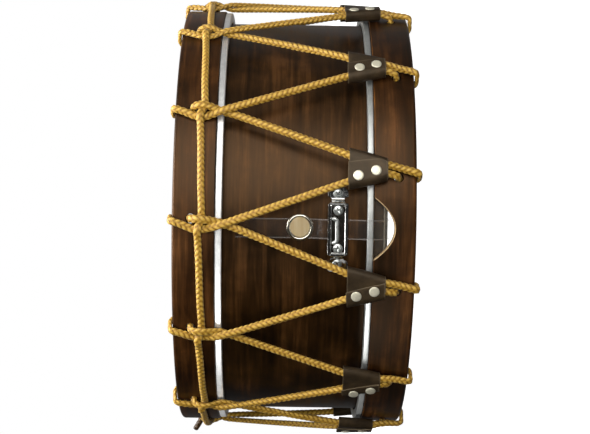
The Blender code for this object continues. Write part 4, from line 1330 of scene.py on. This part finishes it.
def make_butt():
    line = resample([(-34.5, 176.2), (-23.0, 177.0), (-21.2, 182.8),
                     (21.2, 182.8), (23.0, 177.0), (34.5, 176.4)], 0.35, 1.6)
    stations = []
    for t, n in line:
        u = abs(t)
        r = 6.4 if t > 0 else 2.6
        hw = BUTT_HALF_Z
        if u > 34.5 - r:
            hw = BUTT_HALF_Z - r + math.sqrt(max(0.0, r * r
                                                 - (u - 34.5 + r) ** 2))
        if 19.9 < u < 26.0:
            k = min(1.0, (u - 19.9) / 0.7, (26.0 - u) / 0.9)
            hw = hw * (1 - k) + 5.3 * k
        stations.append(((t, n), max(hw, 1.2)))
    ob = ribbon("butt_strip", BUTT_DEG, stations, 1.3, CHROME, BUTT_Z)
    STRIPS.append(ob)
    ride_as(ob, "drum", "chrome", "butt_bracket")
    hz = BUTT_HALF_Z - 0.15
    ob = plate("butt_clamp_plate", BUTT_DEG, BUTT_Z, [
        (20.7, hz - 0.4, 1.0, 184.55), (21.2, hz, 1.4, 184.95),
        (21.2, hz, 1.4, 186.3), (20.9, hz - 0.3, 1.2, 186.75),
        (20.4, hz - 0.8, 1.0, 186.75), (20.1, hz - 1.1, 0.9, 186.35),
        (19.6, hz - 1.7, 0.8, 186.3), (19.3, hz - 2.0, 0.8, 186.6),
        (18.9, hz - 2.4, 0.7, 186.6), (18.5, hz - 2.8, 0.7, 186.2),
        (17.0, hz - 3.4, 0.7, 186.15)], CHROME)
    ride_as(ob, "drum", "chrome", "butt_clamp")
    # a darker chrome sheet in the plate's middle as a painted reflection of the
    # dark surroundings, and the bent bar that presses the strap
    ob = plate("butt_painted_reflection", BUTT_DEG, BUTT_Z, [
        (18.5, hz - 2.6, 0.7, 186.18), (18.5, hz - 2.6, 0.7, 186.32)],
        DARK_REFLECTION_CHROME)
    ride_as(ob, "drum", "chrome")
    path = resample([(8.6, 4.6), (8.3, 2.2), (6.8, 0.7), (-8.2, 0.7),
                     (-10.6, 1.6), (-11.0, 4.6)], 0.5, 2.2)
    tan = np.gradient(path, axis=0)
    tan /= np.linalg.norm(tan, axis=1)[:, None]
    rings = []
    m = len(path)
    for i, (p, t) in enumerate(zip(path, tan)):
        side = np.array((-t[1], t[0]))
        end = min(1.0, 0.35 + min(i, m - 1 - i) * 0.35)
        row = []
        for q in range(12):
            a = 2 * math.pi * q / 12
            o = p + side * (1.6 * end * math.cos(a))
            row.append(local(BUTT_DEG, o[0], 186.6 + 0.95 * end * math.sin(a),
                             BUTT_Z + o[1]))
        rings.append(row)
    v, f = loft(rings)
    ob = new_object("butt_bar", v, f, SCREW, recalc=True, sharp=50.0)
    ride_as(ob, "drum", "chrome")
    for s, w, tn in ((1, "upper", 0.45), (-1, "lower", 0.1)):
        base = radial_basis(BUTT_DEG, BUTT_Z, s * BUTT_CLAMP_T)
        ob = cross_screw("butt_clamp_head_" + w, base, 186.3, 3.9, 1.5,
                         SCREW, tn, 1.5, 0.55)
        ride_as(ob, "drum", "chrome", "butt_clamp_screw_" + w)
        base = radial_basis(BUTT_DEG + s * BUTT_MOUNT_DEG, BUTT_Z)
        ob = cross_screw("butt_mount_head_" + w, base, 178.9, 3.9, 1.8,
                         SCREW, tn + 0.5, 1.5, 0.55)
        ride_as(ob, "drum", "chrome", "butt_mount_screw_" + w)


def strap(name, deg, line, node=None, warp=None, bend=None):
    """Thin clear strap along (radius, height), its width along the round."""
    pts = resample(line, 0.6, 2.2)
    tan = np.gradient(pts, axis=0)
    tan /= np.linalg.norm(tan, axis=1)[:, None]
    nor = np.stack([tan[:, 1], -tan[:, 0]], 1)
    cols = [-1.0, -0.985, -0.955, -0.75, -0.5, -0.25, 0.0, 0.25, 0.5, 0.75,
            0.955, 0.985, 1.0]
    rings, edge = [], []
    for p, n in zip(pts, nor):
        row = []
        for k in (STRAP_T / 2, -STRAP_T / 2):
            use = cols if k > 0 else list(reversed(cols))
            for c in use:
                lip = 0.10 if abs(c) > 0.97 else 0.0
                q = p + n * (k + math.copysign(lip, k))
                t = c * STRAP_HALF
                row.append(local(deg, t, q[0],
                                 warp(t, q[1]) if warp else q[1]))
                # edge mask: the strap's edges are drawn more opaque and
                # lighter, a painted highlight
                edge.append(1.0 if abs(c) > 0.95 else 0.0)
        rings.append(row)
    v, f = loft(rings)
    ob = new_object(name, v, f, STRAP_FILM, recalc=True, sharp=50.0)
    float_attribute(ob, "edge", edge)
    if bend:
        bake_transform(ob)
        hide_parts(node)
    else:
        ride_as(ob, "drum", "clear_plastic", *([node] if node else []))


COMMON = [(150.5, 24.85), (171.0, 24.85), (177.2, 25.6), (180.6, 28.2),
          (187.6, 36.4), (188.3, 38.6), (188.3, 43.2)]


def make_straps():
    eye = 9.1

    def round_end(t, z):
        """Draws an end of the strap to the vent's barrel."""
        s = -1.0 if z < VENT_Z else 1.0
        off = abs(z - VENT_Z)
        if off > 16.0:
            return z
        t = t + math.radians(BUTT_DEG) * STRAP_LIE
        end = math.sqrt(max(0.0, eye * eye - t * t))
        return VENT_Z + s * (16.0 - (16.0 - off) * (16.0 - end)
                             / (16.0 - eye))

    strap("butt_strap", BUTT_DEG, COMMON + [
        (186.4, 50.0), (183.98, 57.0), (183.98, 77.0), (181.6, 80.6),
        (STRAP_LIE, 84.2), (STRAP_LIE, VENT_Z - eye)],
        "snare_strap_butt", round_end)
    strap("butt_strap_tail", BUTT_DEG, [(STRAP_LIE, VENT_Z + eye),
                                        (STRAP_LIE, 130.0),
                                        (STRAP_LIE, 149.0)],
          None, round_end)
    strap("throwoff_strap", 180.0, COMMON + [
        (188.2, 46.0), (184.4, 51.0), (184.3, 53.0), (184.3, 59.0)],
        "snare_strap_throwoff", None,
        ("carriage", (0, 0.186, 0.040), (0, 0.186, 0.0525)))


def make_vent():
    o, i = VENT_OR, VENT_IR
    prof = [(i, 170.2), (o, 170.2), (o, 171.1), (8.6, 171.3), (8.6, 179.05),
            (o - 0.15, 179.05), (o, 179.2), (o, 179.4), (o - 0.3, 179.75),
            (o - 0.8, 180.0), (9.5, 180.15), (9.0, 180.1), (8.6, 179.85),
            (8.3, 179.35), (8.1, 178.6), (i, 177.4)]
    ob = turned("vent_eyelet", radial_basis(0.0, VENT_Z), prof, NICKEL,
                segs=72)
    ride_as(ob, "drum", "nickel", "vent_grommet")


def make_snares():
    """Twelve coiled wires between two soldered plates."""
    n = 12
    coil, lay = 0.62, 1.7
    step = 0.42
    length = 302.0
    m = int(length / step)
    y = np.linspace(-151.0, 151.0, m)
    k = 9
    th = np.arange(k) * 2 * math.pi / k
    vs, fs = [], []
    base = 0
    for i in range(n):
        x0 = -18.7 + 37.4 * i / (n - 1)
        ph = th[None, :] - 2 * math.pi * y[:, None] / lay + i
        r = coil * (0.80 + 0.26 * np.cos(ph))
        v = np.stack([x0 + r * np.cos(th)[None, :],
                      np.broadcast_to(y[:, None], r.shape),
                      25.9 + r * np.sin(th)[None, :]], -1).reshape(-1, 3)
        idx = base + np.arange(m * k).reshape(m, k)
        nx = np.roll(idx, -1, axis=1)
        fs.append(np.stack([idx[:-1], nx[:-1], nx[1:], idx[1:]],
                           -1).reshape(-1, 4))
        vs.append(v)
        base += m * k
    wires = new_object("snare_coils", np.vstack(vs), np.vstack(fs).tolist(),
                       STEEL)
    ride_as(wires, "drum", "snare_steel", "snare_wires")
    for s, w in ((-1, "butt"), (1, "throwoff")):
        lv = [(20.6, 5.6, 1.6, 25.4), (21.0, 6.0, 2.0, 25.55),
              (21.0, 6.0, 2.0, 26.45), (20.6, 5.6, 1.6, 26.6)]
        rings = [[np.array((t, s * 157.0 + q, h))
                  for t, q in rounded(a, b, r)] for a, b, r, h in lv]
        v, f = loft(rings)
        ob = new_object("snare_plate_" + w, v, f, STEEL, recalc=True,
                        sharp=40.0)
        ride_as(ob, "drum", "snare_steel")


make_butt()
make_straps()
make_vent()
make_snares()


def dress_throwoff():
    for name, mat, width in (
            ("throwoff_bracket", CHROME, 0.5), ("throwoff_carriage", CHROME,
                                                0.6),
            ("throwoff_clamp", CHROME, 0.5), ("throwoff_lever", CHROME, 0.6),
            ("throwoff_knob", NICKEL, 0.4)):
        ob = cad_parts[name]
        ob.data.materials.clear()
        ob.data.materials.append(mat)
        bv = ob.modifiers.new("edge", "BEVEL")
        bv.width, bv.segments = width / 1000.0, 3
        bv.limit_method, bv.angle_limit = "ANGLE", math.radians(40)


dress_throwoff()


# ----------------------------------------------------------- floor and lights
def make_stage():
    s = Shader("pale_floor")
    s.set(Base_Color=(0.5, 0.5, 0.5, 1.0), Roughness=0.9)
    s.bsdf.inputs["Emission Color"].default_value = (1, 1, 1, 1)
    s.bsdf.inputs["Emission Strength"].default_value = 0.93
    me = bpy.data.meshes.new("floor")
    me.from_pydata([(-6, -6, -0.0004), (6, -6, -0.0004), (6, 6, -0.0004),
                    (-6, 6, -0.0004)], [], [(0, 1, 2, 3)])
    me.materials.append(s.mat)
    floor = bpy.data.objects.new("floor", me)
    bpy.context.scene.collection.objects.link(floor)
    floor.visible_diffuse = floor.visible_glossy = False
    s = Shader("pale_backdrop")
    s.set(Base_Color=(0, 0, 0, 1), Roughness=1.0)
    s.bsdf.inputs["Specular IOR Level"].default_value = 0.0
    s.bsdf.inputs["Emission Color"].default_value = (1, 1, 1, 1)
    s.bsdf.inputs["Emission Strength"].default_value = 1.0
    verts, faces, n, m = [], [], 32, 16
    for i in range(m + 1):
        e = -math.pi / 2 + math.pi * i / m
        for k in range(n):
            a = 2 * math.pi * k / n
            verts.append((9000 * math.cos(e) * math.cos(a),
                          9000 * math.cos(e) * math.sin(a),
                          9000 * math.sin(e)))
    for i in range(m):
        for k in range(n):
            q = (k + 1) % n
            faces.append((i * n + k, i * n + q, (i + 1) * n + q,
                          (i + 1) * n + k))
    dome = new_object("backdrop", verts, faces, s.mat)
    dome.visible_diffuse = dome.visible_glossy = False
    dome.visible_transmission = True
    dome.visible_shadow = dome.visible_volume_scatter = False


def area(name, loc, target, size, watts, colour=(1, 1, 1), size_y=None):
    li = bpy.data.lights.new(name, "AREA")
    li.energy, li.color, li.size = watts, colour, size
    if size_y:
        li.shape, li.size_y = "RECTANGLE", size_y
    ob = bpy.data.objects.new(name, li)
    bpy.context.scene.collection.objects.link(ob)
    d = Vector(target) - Vector(loc)
    ob.rotation_mode = "QUATERNION"
    ob.rotation_quaternion = d.to_track_quat("-Z", "Y")
    ob.location = loc
    ob.visible_camera = False
    return ob


def make_lights():
    world = bpy.data.worlds.new("studio")
    world.use_nodes = True
    tree = world.node_tree
    bg = tree.nodes["Background"]
    co = tree.nodes.new("ShaderNodeTexCoord")
    xyz = tree.nodes.new("ShaderNodeSeparateXYZ")
    span = tree.nodes.new("ShaderNodeMapRange")
    tree.links.new(co.outputs["Generated"], xyz.inputs[0])
    tree.links.new(xyz.outputs[1], span.inputs["Value"])
    for k, v in (("From Min", -0.6), ("From Max", 0.9), ("To Min", 0.0),
                 ("To Max", 0.30)):
        span.inputs[k].default_value = v
    side = tree.nodes.new("ShaderNodeMapRange")
    tree.links.new(xyz.outputs[0], side.inputs["Value"])
    for k, v in (("From Min", -0.9), ("From Max", 0.1), ("To Min", 0.0),
                 ("To Max", 1.0)):
        side.inputs[k].default_value = v
    both = tree.nodes.new("ShaderNodeMath")
    both.operation = "MULTIPLY_ADD"
    tree.links.new(span.outputs[0], both.inputs[0])
    tree.links.new(side.outputs[0], both.inputs[1])
    both.inputs[2].default_value = 0.03
    tree.links.new(both.outputs[0], bg.inputs["Strength"])
    bg.inputs["Color"].default_value = (1.0, 1.0, 1.0, 1.0)
    bpy.context.scene.world = world
    mid = (0.0, 0.0, 0.1)
    area("key", (0.90, -1.56, 0.30), mid, 1.4, 28.0, (1.0, 0.985, 0.96))
    for name, loc, size, watts in (("high", (1.7, -0.45, 0.40), 1.4, 2.0),
                                   ("front", (-0.35, -1.76, 0.2), 1.0, 17.0)):
        ob = area(name, loc, mid, size, watts)
        ob.visible_glossy = False
    area("top", (0.15, -0.25, 1.3), mid, 0.8, 32.0)
    for name, loc, size, watts, parts in (
            ("ring_fill", (-1.5, -1.1, 0.3), 1.0, 30.0, RINGS),
            ("hoop_fill", (-1.45, -1.15, 0.3), 1.3, 7.0, HOOPS),
            ("strip_fill", (-0.75, -1.6, 0.1), 0.8, 1.6, STRIPS)):
        fill = area(name, loc, mid, size, watts)
        group = bpy.data.collections.new(name)
        for ob in parts:
            group.objects.link(ob)
        fill.light_linking.receiver_collection = group
    back = area("back", (0.9, 1.7, 0.9), mid, 1.2, 18.0)
    back.visible_glossy = False


make_stage()
make_lights()
bpy.context.scene.view_settings.view_transform = "Standard"
bpy.context.scene.view_settings.look = "None"
